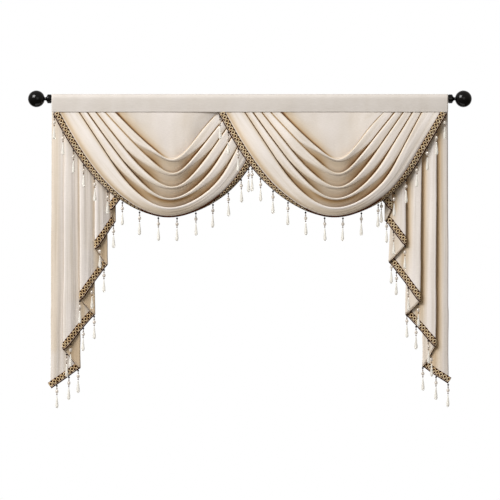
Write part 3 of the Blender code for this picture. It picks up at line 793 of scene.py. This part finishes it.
def pleat_path(lines, z, side):
    """The pleats cut at height z, from the inner edge to the outer one: x, y and
    the crease, for the left tail, or for the right one turned over."""
    front, back, front_r, back_r = opening_at(z)

    def across(i):
        _, x_top, x_hem, hem = lines[i]
        share = (CLOTH_TOP - z) / (CLOTH_TOP - hem)
        return side * (x_top + (x_hem - x_top) * min(max(share, 0.0), 1.0))

    points = [(across(0), front + 3.0)]
    slope = 0.0
    for i in range(1, len(lines)):
        line, x = lines[i][0], across(i)
        if lines[i - 1][0] == "back":  # a front layer, from the fold behind it
            narrow = across(i + 1) + 1.0 if i + 1 < len(lines) else across(i - 2)
            passing = (narrow, back - 2 * back_r - PASSING)
            a = points[-1]
            nose = min(front_r * NOSE[side], 0.5 * (passing[0] - x))
            end = (x + nose, front) if line == "front" else (x, front + 9.0)
            middle = (end[1] - a[1]) / (end[0] - a[0])
            points += hermite(a, passing, 0.0, middle, SPAN_STEPS)
            points += hermite(passing, end, middle, 0.0 if line == "front" else -0.35, SPAN_STEPS)
        elif line == "front":  # the inner panel
            nose = front_r * NOSE[side]
            points += hermite(points[-1], (x + nose, front), -0.02, 0.0, SPAN_STEPS)
        else:  # a back panel
            points += hermite(points[-1], (x - back_r, back - 2 * back_r), 0.0, 0.0, SPAN_STEPS)
        if line == "front":
            for s in range(1, ARC_STEPS + 1):  # a long rounded nose, then a close turn back
                h = math.pi * s / ARC_STEPS
                long = nose if h < math.pi / 2 else front_r
                points.append((x + long * (1 - math.sin(h)), front + front_r * (1 - math.cos(h))))
        elif line == "back":
            cx, cy = x - back_r, back - back_r
            for s in range(1, ARC_STEPS + 1):
                h = math.pi * s / ARC_STEPS
                points.append((cx + back_r * math.sin(h), cy - back_r * math.cos(h)))
    return [(side * x, y) for x, y in points]


def hem_heights(lines):
    """The hem's height at each point of the pleats, and whether it is on a
    front layer."""
    heights, in_front = [lines[0][3]], [True]
    for i in range(1, len(lines)):
        a, b = lines[i - 1], lines[i]
        if a[0] == "back":
            narrow = lines[i + 1 if i + 1 < len(lines) else i - 2]
            share = min(max((narrow[2] - a[2]) / (b[2] - a[2]), 0.05), 0.95)
            middle = a[3] + (b[3] - a[3]) * share
            heights += list(np.linspace(a[3], middle, SPAN_STEPS + 1)[1:])
            heights += list(np.linspace(middle, b[3], SPAN_STEPS + 1)[1:])
            in_front += [True] * (2 * SPAN_STEPS)
        else:
            heights += list(np.linspace(a[3], b[3], SPAN_STEPS + 1)[1:])
            in_front += [b[0] == "front"] * SPAN_STEPS
        if b[0] != "edge":
            heights += [b[3]] * ARC_STEPS
            in_front += [False] * ARC_STEPS
    return np.array(heights), np.array(in_front)


class Tail:
    """A tail's surface: where the thread at a place along the pleats is, at any
    height, and which way its face looks there."""

    def __init__(self, lines, side, seed):
        self.lines, self.side = lines, side
        heights, self.in_front = hem_heights(lines)
        for _ in range(3):  # ease the corners of the hem line
            heights[1:-1] = (heights[:-2] + 2 * heights[1:-1] + heights[2:]) / 4
        self.hem = heights
        self.step = 4.0
        self.low = int(heights.min() // self.step) - 8
        count = int(CLOTH_TOP // self.step) + 1 - self.low + 1
        columns = len(heights)
        sway, swing = wander(seed, 400, 90), wander(seed + 1, 400, 130)
        layers = []
        for k in range(count):
            z = (self.low + k) * self.step
            path = np.array(pleat_path(lines, min(z, CLOTH_TOP), side))
            down = min((CLOTH_TOP - z) / 900.0, 1.0)
            c = np.arange(columns)
            path[:, 0] += 1.6 * down * sway[(c * 1.2 - z * 0.25).astype(int) % 400]
            path[:, 1] += 0.8 * down * swing[(c * 1.2 - z * 0.3).astype(int) % 400]
            layers.append(path)
        self.layers = np.array(layers)
        self.ripple(seed)
        for _ in range(2):
            self.layers[1:-1] = (self.layers[:-2] + 2 * self.layers[1:-1] + self.layers[2:]) / 4

    def ripple(self, seed):
        """Soft upright waves on the faces of the front layers."""
        rng = np.random.default_rng(seed + 7)
        z = (self.low + np.arange(len(self.layers))) * self.step
        down = np.clip((CLOTH_TOP - z) / 300.0, 0.0, 1.0)
        i = 0
        for k in range(1, len(self.lines)):
            a, b = self.lines[k - 1], self.lines[k]
            spans = 2 * SPAN_STEPS if a[0] == "back" else SPAN_STEPS
            if b[0] != "back":
                f = np.linspace(0, 1, SPAN_STEPS + 1)[1:]
                window = np.sin(math.pi * f) ** 0.7
                phase, waves = rng.uniform(0.0, 0.5), rng.uniform(1.3, 1.8)
                drift = 0.25 * np.sin(z / rng.uniform(160, 260) + rng.uniform(0, 6.28))
                lift = np.sin(2 * math.pi * (waves * f[None, :] + phase + drift[:, None])) * window
                at = slice(i + spans - SPAN_STEPS + 1, i + spans + 1)
                self.layers[:, at, 1] += 0.7 * down[:, None] * lift
            i += spans + (ARC_STEPS if b[0] != "edge" else 0)

    def at(self, column, z):
        """Points for arrays of column (fractional) and height."""
        row = np.clip(z / self.step - self.low, 0, len(self.layers) - 1.001)
        column = np.clip(column, 0, len(self.hem) - 1.001)
        r, c = row.astype(int), column.astype(int)
        fr, fc = (row - r)[..., None], (column - c)[..., None]
        low = self.layers[r, c] * (1 - fc) + self.layers[r, c + 1] * fc
        high = self.layers[r + 1, c] * (1 - fc) + self.layers[r + 1, c + 1] * fc
        xy = low * (1 - fr) + high * fr
        return np.concatenate([xy, np.asarray(z, float)[..., None]], axis=-1)

    def face(self, column, z):
        """The unit vector out of the cloth's face: frontwards on a front layer."""
        along = self.at(column + 0.35, z) - self.at(column - 0.35, z)
        out = np.stack([along[..., 1], -along[..., 0], np.zeros_like(along[..., 0])], axis=-1)
        return unit(out * -self.side)

    def grid(self):
        share = np.linspace(0, 1, TAIL_ROWS + 1)[:, None]
        z = CLOTH_TOP + (self.hem[None, :] - CLOTH_TOP) * share
        column = np.broadcast_to(np.arange(len(self.hem), dtype=float), z.shape)
        return self.at(column, z)

    def shade(self, grid):
        """Painted shade for each point: dark where a layer goes in under the one
        before it, tan on back panels below it, and a painted shadow under the swag's hem."""
        made = np.zeros(grid.shape[:2])
        starts, i = [0], 0
        for k in range(1, len(self.lines)):
            a, b = self.lines[k - 1], self.lines[k]
            count = (2 * SPAN_STEPS if a[0] == "back" else SPAN_STEPS) + (ARC_STEPS if b[0] != "edge" else 0)
            first, last = i + 1, i + count
            if a[0] == "back":  # a front layer that comes from under the fold at k - 2
                share = (CLOTH_TOP - grid[:, first : last + 1, 2]) / (CLOTH_TOP - self.lines[k - 2][3])
                edge = self.lines[k - 2][1] + (self.lines[k - 2][2] - self.lines[k - 2][1]) * np.clip(share, 0, 1)
                out = (edge - grid[:, first : last + 1, 0]) * self.side
                # painted shade: on the left tail a narrow dark line and a tan face, on the right one a wide fade after
                # the edge
                if self.side > 0:  # lit from its open side: a narrow dark line and a tan face
                    dark = 0.62 - 0.14 * smooth(out, -6.0, 0.0) - 0.42 * smooth(out, 0.0, 5.5)
                    own = self.lines[k][1] + (self.lines[k][2] - self.lines[k][1]) * np.clip(share, 0, 1)
                    dark *= smooth((grid[:, first : last + 1, 0] - own), 9.0, 17.0)
                    if b[0] == "edge":
                        dark = 0.3 * dark + 0.19 * smooth(out, 12.0, 24.0)
                else:
                    dark = 0.62 - 0.62 * smooth(out, 4.0, 28.0)
                dark *= 0.35 + 0.65 * smooth(out, -24.0, -8.0)  # and lighter again behind
                # under that fold's end nothing is in front of it, and it fades out
                most = 0.70 if self.side > 0 else 0.45
                below = most * smooth(share, 1.0, 1.03) + (0.90 - most) * smooth(share, 1.0, 1.28)
                made[:, first : last + 1] = dark * (1.0 - below * (0.5 + 0.5 * smooth(out, -4.0, 6.0)))
            # painted shade on a back panel, where it shows below the fold in front
            elif b[0] == "back":  # seen from the front only below the fold before it
                seen = smooth(self.lines[k - 2][3] + 20.0 - grid[:, first : last + 1, 2], 0.0, 30.0)
                made[:, first : last + 1] = 0.12 + (0.30 if self.side > 0 else 0.04) * seen
            i = last
        # a painted shadow on the tail under the swag's hem
        t = np.linspace(0.30, 1.0, 80) * -self.side
        hem = swag_lines("swag_left", t)[5]
        x, z = hem[:, 0] + SWAG_CENTRES["swag_left" if self.side > 0 else "swag_right"], hem[:, 2]
        order = np.argsort(x)
        under = np.interp(grid[:, :, 0], x[order], z[order]) - grid[:, :, 2]
        painted_hem_shadow = (0.20 if self.side > 0 else 0.34) * (1.0 - smooth(under, 4.0, 34.0)) * smooth(under, -60.0, -30.0)
        made = np.maximum(made, painted_hem_shadow)
        for _ in range(2):
            made[:, 1:-1] = (made[:, :-2] + 2 * made[:, 1:-1] + made[:, 2:]) / 4
        return made

    def flat(self):
        """Along the hem in the flat cloth: the stations (width, height) of every
        column."""
        hem = self.at(np.arange(len(self.hem), dtype=float), self.hem)
        across = np.concatenate([[0], np.cumsum(np.hypot(np.diff(hem[:, 0]), np.diff(hem[:, 1])))])
        return across, self.hem


# ---------------------------------------------------------------------- header
def header_sheet():
    """The rod pocket: from the lower edge of its front up, over the rod, down the
    back and forward under the rod."""
    front, back, heel = HEADER_FRONT + 0.7, 15.3, 10.0
    mid, half = (front + back) / 2, (back - front) / 2
    section = [
        (front + inward, z)
        for inward, z in (
            (1.0, HEADER_LIP), (0.95, -41.0), (0.8, -37.0), (0.5, -31.0),
            (0.2, -24.0), (0.0, -17.0), (0.0, -10.0), (0.0, -5.0),
        )
    ]
    for i in range(13):
        a = math.pi * i / 12
        section.append((mid - half * math.cos(a), (HEADER_TOP - 0.4) * math.sin(a) ** 0.8))
    for f in (0.2, 0.4, 0.6, 0.8, 0.95):
        section.append((back + (heel - back) * f, SLEEVE_FLOOR * f + 0.6 * f))
    for f in (0.1, 0.35, 0.65, 0.95):
        section.append((heel + (front + 1.3 - heel) * f, SLEEVE_FLOOR + 0.5))
    section = np.array(section)
    columns = 300
    x = np.linspace(HEADER_LEFT + 0.3, HEADER_RIGHT - 0.3, columns)
    grid = np.zeros((len(section), columns, 3))
    long_wave, short_wave = wander(5, columns, 60), wander(9, columns, 17)
    for r, (y, z) in enumerate(section):
        slack = 0.35 * smooth(-z, -5, 30) if y < mid else 0.2
        grid[r, :, 0] = x
        grid[r, :, 1] = y + slack * (0.5 * long_wave + 0.35 * np.roll(short_wave, int(z / 3)))
        grid[r, :, 2] = z
    grid[:8, :, 1] = np.clip(grid[:8, :, 1], HEADER_FRONT + 0.45, -14.15)
    return grid


# ---------------------------------------------------------------------- braids
def swag_place(hem, above, face):
    """For a swag's hem: the function from (along, in from the hem, out from the
    face) in mm to points, and the hem's length."""
    _, (hem, above, face) = resampled([hem, above, face], hem, 2.0)
    along = unit(np.gradient(hem, axis=0))
    across = above - hem
    across = unit(across - along * np.sum(across * along, axis=1, keepdims=True))
    for _ in range(6):
        across[1:-1] = across[:-2] + 2 * across[1:-1] + across[2:]
        across = unit(across)
    normal = np.cross(across, along)
    normal = unit(normal * np.sign(np.sum(normal * face, axis=1, keepdims=True)))
    s = lengths(hem)

    def place(at, inward, out):
        def pick(table):
            return np.stack([np.interp(at, s, table[:, c]) for c in range(3)], axis=-1)

        return pick(hem) + pick(across) * inward[..., None] + pick(normal) * out[..., None]

    return place, s[-1]


def tail_place(tail):
    """The same for a tail's hem, laid out on the flat cloth and folded with it."""
    across, heights = tail.flat()
    line = np.stack([across, heights, np.zeros_like(across)], axis=1)
    _, (line, column) = resampled(
        [line, np.stack([np.arange(len(across), dtype=float)] * 2, axis=1)], line, 2.0
    )
    along = unit(np.gradient(line, axis=0))
    for _ in range(40):  # one slanted cut, so its corners are the folds' alone
        along[1:-1] = along[:-2] + 2 * along[1:-1] + along[2:]
        along = unit(along)
    s = lengths(line)

    def place(at, inward, out):
        u, v, tu, tv = (np.interp(at, s, t) for t in (line[:, 0], line[:, 1], along[:, 0], along[:, 1]))
        u, v = u - tv * inward, v + tu * inward
        c = np.interp(u, across, np.arange(len(across), dtype=float))
        # past the cloth's own edges the band goes straight on
        beyond = np.where(u < across[0], u - across[0], np.where(u > across[-1], u - across[-1], 0.0))
        points = tail.at(c, v) + tail.face(c, v) * out[..., None]
        points[..., 0] -= beyond * tail.side
        return points

    return place, s[-1]


def braid(name, place, length, node, under=(0.0, 0.0), faces_front=False):
    """Scroll gimp along a hem, on the face side: a row of gold rings on a dark
    band, with a light cord and a dark one along the hem, the dark cord also a painted
    shade line under the braid's edge. Where the hem is turned under, a dark cord along the inner edge is painted
    shade."""
    step = RING_PITCH / 10
    at = np.linspace(1.0, length - 1.0, int((length - 2.0) / step) + 1)
    rings = max(round(length / RING_PITCH), 2)
    flat = np.zeros(len(at))
    middle = BRAID_WIDTH / 2 - 0.4
    darker = name == "tail_left"  # its braid has browner rings and wider knots

    rows = []
    for share in (-1.0, -0.5, 0.0, 0.5, 1.0):
        rows.append(place(at, flat + middle + share * (BRAID_WIDTH / 2 - 0.4), flat + 0.95))
    strip = sheet_object("braid_band_" + name, np.array(rows), TAN, 0.6)
    pieces = [strip]
    gold, cream, brown, dots = Pile(), Pile(), Pile(), Pile()

    def cord(pile, across, height, wide, high, start=0.0, end=1.0, sides=6, turned=False):
        runs = [at[(at >= length * start) & (at <= length * end)]]
        if faces_front:  # only on the layers that face the front, or that go back
            whole, zero = runs[0], np.zeros(len(runs[0]))
            ahead = (place(whole, zero, zero + 1.0) - place(whole, zero, zero))[:, 1] < -0.3
            cuts = np.flatnonzero(np.diff(ahead.astype(int))) + 1
            runs = [run for run, seen in zip(np.split(whole, cuts), np.split(ahead, cuts)) if seen[0] != turned]
        for some in runs:
            if len(some) < 3:
                continue
            aside, above = np.full(len(some), middle + across), np.full(len(some), height)
            line = place(some, aside, above)
            normal = unit(place(some, aside, above + 0.5) - line)
            direction = unit(np.gradient(line, axis=0))
            pile.add(*tube(line, unit(np.cross(normal, direction)), normal, wide, high, sides))

    for ring in range(rings):  # a row of ringlets
        centre = length * (ring + 0.5) / rings
        turn = 2 * math.pi * np.arange(RING_SIDES) / RING_SIDES
        along, across = centre + RING_REACH[0] * np.cos(turn), middle + 0.4 + RING_REACH[1] * np.sin(turn)
        loop = place(along, across, 1.9 + 0.25 * np.sin(turn))
        up = unit(place(along, across, np.full(RING_SIDES, 2.9)) - loop)
        gold.add(*ring_tube(loop, up, 1.6, 1.0))
        # a dark knot in every ring, and two more at the edges between the rings
        for x, y, wide in ((0.0, 0.4, 1.9), (RING_PITCH / 2, 7.0, 2.2), (RING_PITCH / 2, -5.4, 2.0)):
            if not 2.0 < centre + x < length - 2.0:
                continue
            turn = 2 * math.pi * np.arange(8) / 8
            along, across = centre + x + 0.8 * np.cos(turn), middle + y + 0.8 * np.sin(turn)
            loop = place(along, across, np.full(8, 2.1))
            up = unit(place(along, across, np.full(8, 3.1)) - loop)
            dots.add(*ring_tube(loop, up, wide * (1.22 if darker else 1.0), 0.9))
    # painted shade: a dark cord along the inner edge where the hem is turned under
    if under[1]:
        cord(brown, 8.8, 2.5, 2.6, 2.9, *under)
    cord(cream, -8.1, 1.6, 0.8, 1.0)
    # a dark brown edge cord, also a painted shade line under the braid's edge
    cord(brown, -10.6, 0.9, 2.0, 1.3)
    # on the back layers too a light cord and a dark one, the dark one also a painted shade line
    if faces_front:
        cord(cream, -9.9, 0.4, 1.1, 0.9, turned=True)
        cord(brown, -11.4, 0.4, 0.8, 0.9, turned=True)
    pieces.append(gold.piece("braid_gold_" + name, OLD_GOLD if darker else GOLD))
    pieces.append(cream.piece("braid_edge_" + name, CREAM))
    pieces.append(brown.piece("braid_cord_and_shade_line_" + name, BROWN))
    pieces.append(dots.piece("braid_knots_" + name, BROWN))
    for piece in pieces:
        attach(piece, "root")
        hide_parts(node)
    edge = np.linspace(1.0, length - 1.0, int(length))
    return pieces, place(edge, np.zeros(len(edge)), np.full(len(edge), 1.2))


# ----------------------------------------------------------------------- drops
def ball(at, radius, rings, squash=1.0):
    return [
        (at + squash * radius * math.cos(math.pi * (1 - i / rings)), radius * max(math.sin(math.pi * i / rings), 0.02))
        for i in range(rings + 1)
    ]


PEAR = (
    (38.8, 0.9), (40.5, 1.7), (45.0, 2.2), (51.0, 2.9), (57.0, 3.7), (63.0, 4.5), (68.5, 5.1),
    (72.5, 5.3), (75.6, 4.7), (78.0, 3.2), (79.4, 1.4), (79.9, 0.3),
)


def drops(name, tops, node, seed):
    """The bead drops: a dark bead, a gold one, a cut crystal, a gold bead and a
    pear, strung on a thread."""
    rng = np.random.default_rng(seed)
    clear, cut, small, dark = Pile(), Pile(), Pile(), Pile()
    for top in tops:
        lean = np.array([rng.uniform(-0.02, 0.02), rng.uniform(-0.01, 0.01)])
        turn = rng.uniform(0, 6.28)
        stretch = rng.uniform(0.985, 1.015)

        def placed(form):
            points, faces = form
            p = points.copy()
            c, s = math.cos(turn), math.sin(turn)
            p[:, :2] = p[:, :2] @ np.array([[c, s], [-s, c]])
            p[:, 2] *= stretch
            p[:, :2] += p[:, 2:3] * lean
            return p + top, faces

        dark.add(*placed(lathe([(-2.5, 0.45), (39.5, 0.45)], 5)))
        dark.add(*placed(lathe(ball(7.6, 3.2, 6), 10)))
        small.add(*placed(lathe(ball(12.6, 1.7, 6, 0.9), 10)))
        small.add(*placed(lathe(ball(16.6, 2.5, 6, 0.85), 10)))
        cut.add(*placed(lathe(ball(25.6, 5.2, 8, 1.22), 12)))
        small.add(*placed(lathe(ball(35.2, 2.6, 6, 0.8), 10)))
        clear.add(*placed(lathe(PEAR, 8)))
    pieces = [
        clear.piece("pears_" + name, CLEAR, False),
        cut.piece("crystals_" + name, CRYSTAL),
        small.piece("small_beads_" + name, SMALL),
        dark.piece("threads_" + name, DARK),
    ]
    for piece in pieces:
        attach(piece, "root")
        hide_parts(node)
        piece.visible_shadow = False  # clear acrylic lets the light through
        piece.visible_diffuse = piece.visible_glossy = False  # and throws no glow on the cloth
    return pieces


# ---------------------------------------------------------------- put together
def cloth_piece(name, grid, painted_shading, node, material, thickness=0.9):
    # the painted shading attribute: 0.08 is the cloth's own colour, less is painted light, more is painted shade
    made = sheet_object(name, grid, material, thickness, {"painted_shading": np.clip(0.08 + 0.92 * painted_shading, 0.0, 1.0)})
    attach(made, "root")
    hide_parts(node)
    return made


def one_side(grid):
    """The area of a grid, in square metres."""
    a = np.cross(grid[1:, :-1] - grid[:-1, :-1], grid[:-1, 1:] - grid[:-1, :-1])
    b = np.cross(grid[1:, :-1] - grid[1:, 1:], grid[:-1, 1:] - grid[1:, 1:])
    return (np.linalg.norm(a, axis=-1).sum() + np.linalg.norm(b, axis=-1).sum()) / 2 * 1e-6


FLAT = {
    # width, length and area of each cut, in metres and square metres
    "header": (1.270, 0.148, None),
    "swag_left": (1.06, 0.55, 0.255),
    "swag_right": (1.06, 0.55, 0.255),
    "tail_left": (0.62, 0.89, 0.34),
    "tail_right": (0.62, 0.88, 0.33),
}


def declare(name, going, grid):
    width, length, area = FLAT[name]
    down = np.linalg.norm(np.diff(grid, axis=0), axis=2).sum(axis=0)
    over = np.linalg.norm(np.diff(grid, axis=1), axis=2).sum(axis=1)
    print("CLOTH", name, "one side", round(one_side(grid), 4), "longest", round(over.max()), round(down.max()), "flat", width, length, area)
    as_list(going)


header = header_sheet()
header_piece = cloth_piece(
    "header_cloth", header, np.zeros(header.shape[:2]), "header", HEADER_CLOTH
)
declare("header", [], header)

for number, name in enumerate(("swag_left", "swag_right")):
    grid, painted_shading = swag_sheet(name)
    piece = cloth_piece(name + "_cloth", grid, painted_shading, name, SATIN)
    hem, above = grid[-1, 1:-1], grid[-7, 1:-1]
    # the face turns down with the hem, so it is found from the way down the cloth
    out = unit(np.cross(hem - above, np.gradient(hem, axis=0)))
    out *= np.sign(-out[len(out) // 8, 1])
    keep = hem[:, 2] < HEADER_LIP - 1.5
    place, length = swag_place(hem[keep], above[keep], out[keep])
    made, edge = braid(name, place, length, "fringe_" + name, UNDER[name])
    tops = []
    for across in DROPS[name]:
        x = SWAG_CENTRES[name] + across
        order = np.argsort(edge[:, 0])
        x = min(max(x, edge[:, 0].min() + 2), edge[:, 0].max() - 2)
        tops.append([np.interp(x, edge[order, 0], edge[order, c]) for c in range(3)])
    made += drops(name, np.array(tops), "fringe_" + name, 31 + number)
    declare(name, made, grid)

for number, (name, lines, side) in enumerate((("tail_left", TAIL_LEFT, 1), ("tail_right", TAIL_RIGHT, -1))):
    tail = Tail(lines, side, 50 + 10 * number)
    grid = tail.grid()
    piece = cloth_piece(name + "_cloth", grid, tail.shade(grid), name, SATIN_DOWN)
    place, length = tail_place(tail)
    made, edge = braid(name, place, length, "fringe_" + name, faces_front=True)
    tops = []
    for x, z in DROPS[name]:
        far = np.hypot(edge[:, 0] - x, edge[:, 2] - z)
        far += np.where(np.abs(np.gradient(edge[:, 0])) < 0.1, 20.0, 0.0)
        tops.append(edge[int(np.argmin(far))] + np.array([0.0, -0.4, 0.0]))
    made += drops(name, np.array(tops), "fringe_" + name, 71 + number)
    declare(name, made, grid)

# Finials: the collar, flare, neck and ball, turned finely
for name, way in (("finial_left", -1), ("finial_right", 1)):
    profile = [(0.0, 0.05), (0.0, 13.6), (0.5, 14.4), (1.2, 14.5), (10.0, 14.5), (11.2, 14.2), (12.0, 12.8)]
    profile += [(14.0, 9.4), (15.4, 6.6), (16.6, 5.6), (18.6, 5.1), (20.4, 5.4)]
    start = math.asin(5.6 / 27.0)
    for i in range(31):
        a = start + (math.pi - start) * i / 30
        profile.append((47.1 - 27.0 * math.cos(a), max(27.0 * math.sin(a), 0.05)))
    points, faces = lathe(profile, 56)
    turned = np.stack([-way * points[:, 2] + way * 637.2, points[:, 0], points[:, 1]], axis=1)
    if way < 0:
        faces = [face[::-1] for face in faces]
    made = mesh_object(name + "_turned", turned, faces, BLACK)
    made.data.set_sharp_from_angle(angle=math.radians(35))
    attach(made, "root")
    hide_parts(name)
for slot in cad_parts["rod"].material_slots:
    slot.material = BLACK

# ------------------------------------------------------------ stage and lights
scene = bpy.context.scene
scene.view_settings.view_transform = "Standard"
scene.view_settings.look = "None"

floor_paint, floor_tree, floor_shader = node_material("pale_floor")
grain = put(floor_tree, "ShaderNodeTexNoise", Scale=3.0, Detail=2.0)
floor_tree.links.new(
    ramp(floor_tree, grain.outputs["Fac"], ((0.3, (0.86, 0.86, 0.86)), (0.7, (0.9, 0.9, 0.9)))).outputs[0],
    floor_shader.inputs["Base Color"],
)
floor_shader.inputs["Roughness"].default_value = 0.9
floor = mesh_object(
    "floor",
    np.array([(-1150, -700, 0), (1150, -700, 0), (1150, 700, 0), (-1150, 700, 0)], float)
    + np.array([0.0, 0.0, -2300.0]),
    [[0, 1, 2, 3]],
    floor_paint,
)

world = bpy.data.worlds.new("studio")
scene.world = world
world.use_nodes = True
tree = world.node_tree
tree.nodes.clear()
seen = tree.nodes.new("ShaderNodeBackground")
seen.inputs["Color"].default_value = (1.0, 1.0, 1.0, 1.0)
seen.inputs["Strength"].default_value = 1.0
fill = tree.nodes.new("ShaderNodeBackground")
where = tree.nodes.new("ShaderNodeTexCoord")
split = tree.nodes.new("ShaderNodeSeparateXYZ")
tree.links.new(where.outputs["Generated"], split.inputs[0])
height = tree.nodes.new("ShaderNodeMapRange")
height.inputs["From Min"].default_value = -1.0
height.inputs["From Max"].default_value = 1.0
tree.links.new(split.outputs["Z"], height.inputs["Value"])
sky = ramp(
    tree,
    height.outputs[0],
    ((0.30, (0.085, 0.070, 0.054)), (0.52, (0.255, 0.235, 0.21)), (0.85, (0.37, 0.35, 0.325))),
)
tree.links.new(sky.outputs[0], fill.inputs["Color"])
fill.inputs["Strength"].default_value = 1.0
behind = tree.nodes.new("ShaderNodeMapRange")  # a white backdrop behind the drape
behind.inputs["From Min"].default_value = 0.62
behind.inputs["From Max"].default_value = 0.90
tree.links.new(split.outputs["Y"], behind.inputs["Value"])
around = tree.nodes.new("ShaderNodeMixShader")
tree.links.new(behind.outputs[0], around.inputs[0])
tree.links.new(fill.outputs[0], around.inputs[1])
tree.links.new(seen.outputs[0], around.inputs[2])
path = tree.nodes.new("ShaderNodeLightPath")
mix = tree.nodes.new("ShaderNodeMixShader")
out = tree.nodes.new("ShaderNodeOutputWorld")
tree.links.new(path.outputs["Is Camera Ray"], mix.inputs[0])
tree.links.new(around.outputs[0], mix.inputs[1])
tree.links.new(seen.outputs[0], mix.inputs[2])
tree.links.new(mix.outputs[0], out.inputs[0])


def lamp(name, place, target, size, energy, colour):
    data = bpy.data.lights.new(name, "AREA")
    data.shape = "SQUARE"
    data.size = size
    data.energy = energy
    data.color = colour
    made = bpy.data.objects.new(name, data)
    scene.collection.objects.link(made)
    made.location = place
    from mathutils import Vector

    made.rotation_euler = (Vector(target) - Vector(place)).to_track_quat("-Z", "Y").to_euler()
    return made


lamp("key", (-4.6, -4.9, 4.2), (0.0, 0.0, -0.35), 4.2, 760.0, (1.0, 0.99, 0.98))
lamp("front", (0.8, -4.5, 0.6), (0.0, 0.0, -0.4), 2.5, 16.0, (1.0, 0.985, 0.97))

camera_data = bpy.data.cameras.new("camera")
camera_data.lens = 270.0
camera_data.sensor_width = 36.0
camera_data.clip_end = 100.0
camera = bpy.data.objects.new("camera", camera_data)
scene.collection.objects.link(camera)
camera.location = (0.0003, -12.02, -0.4845)
camera.rotation_euler = (math.pi / 2, 0.0, 0.0)
scene.camera = camera
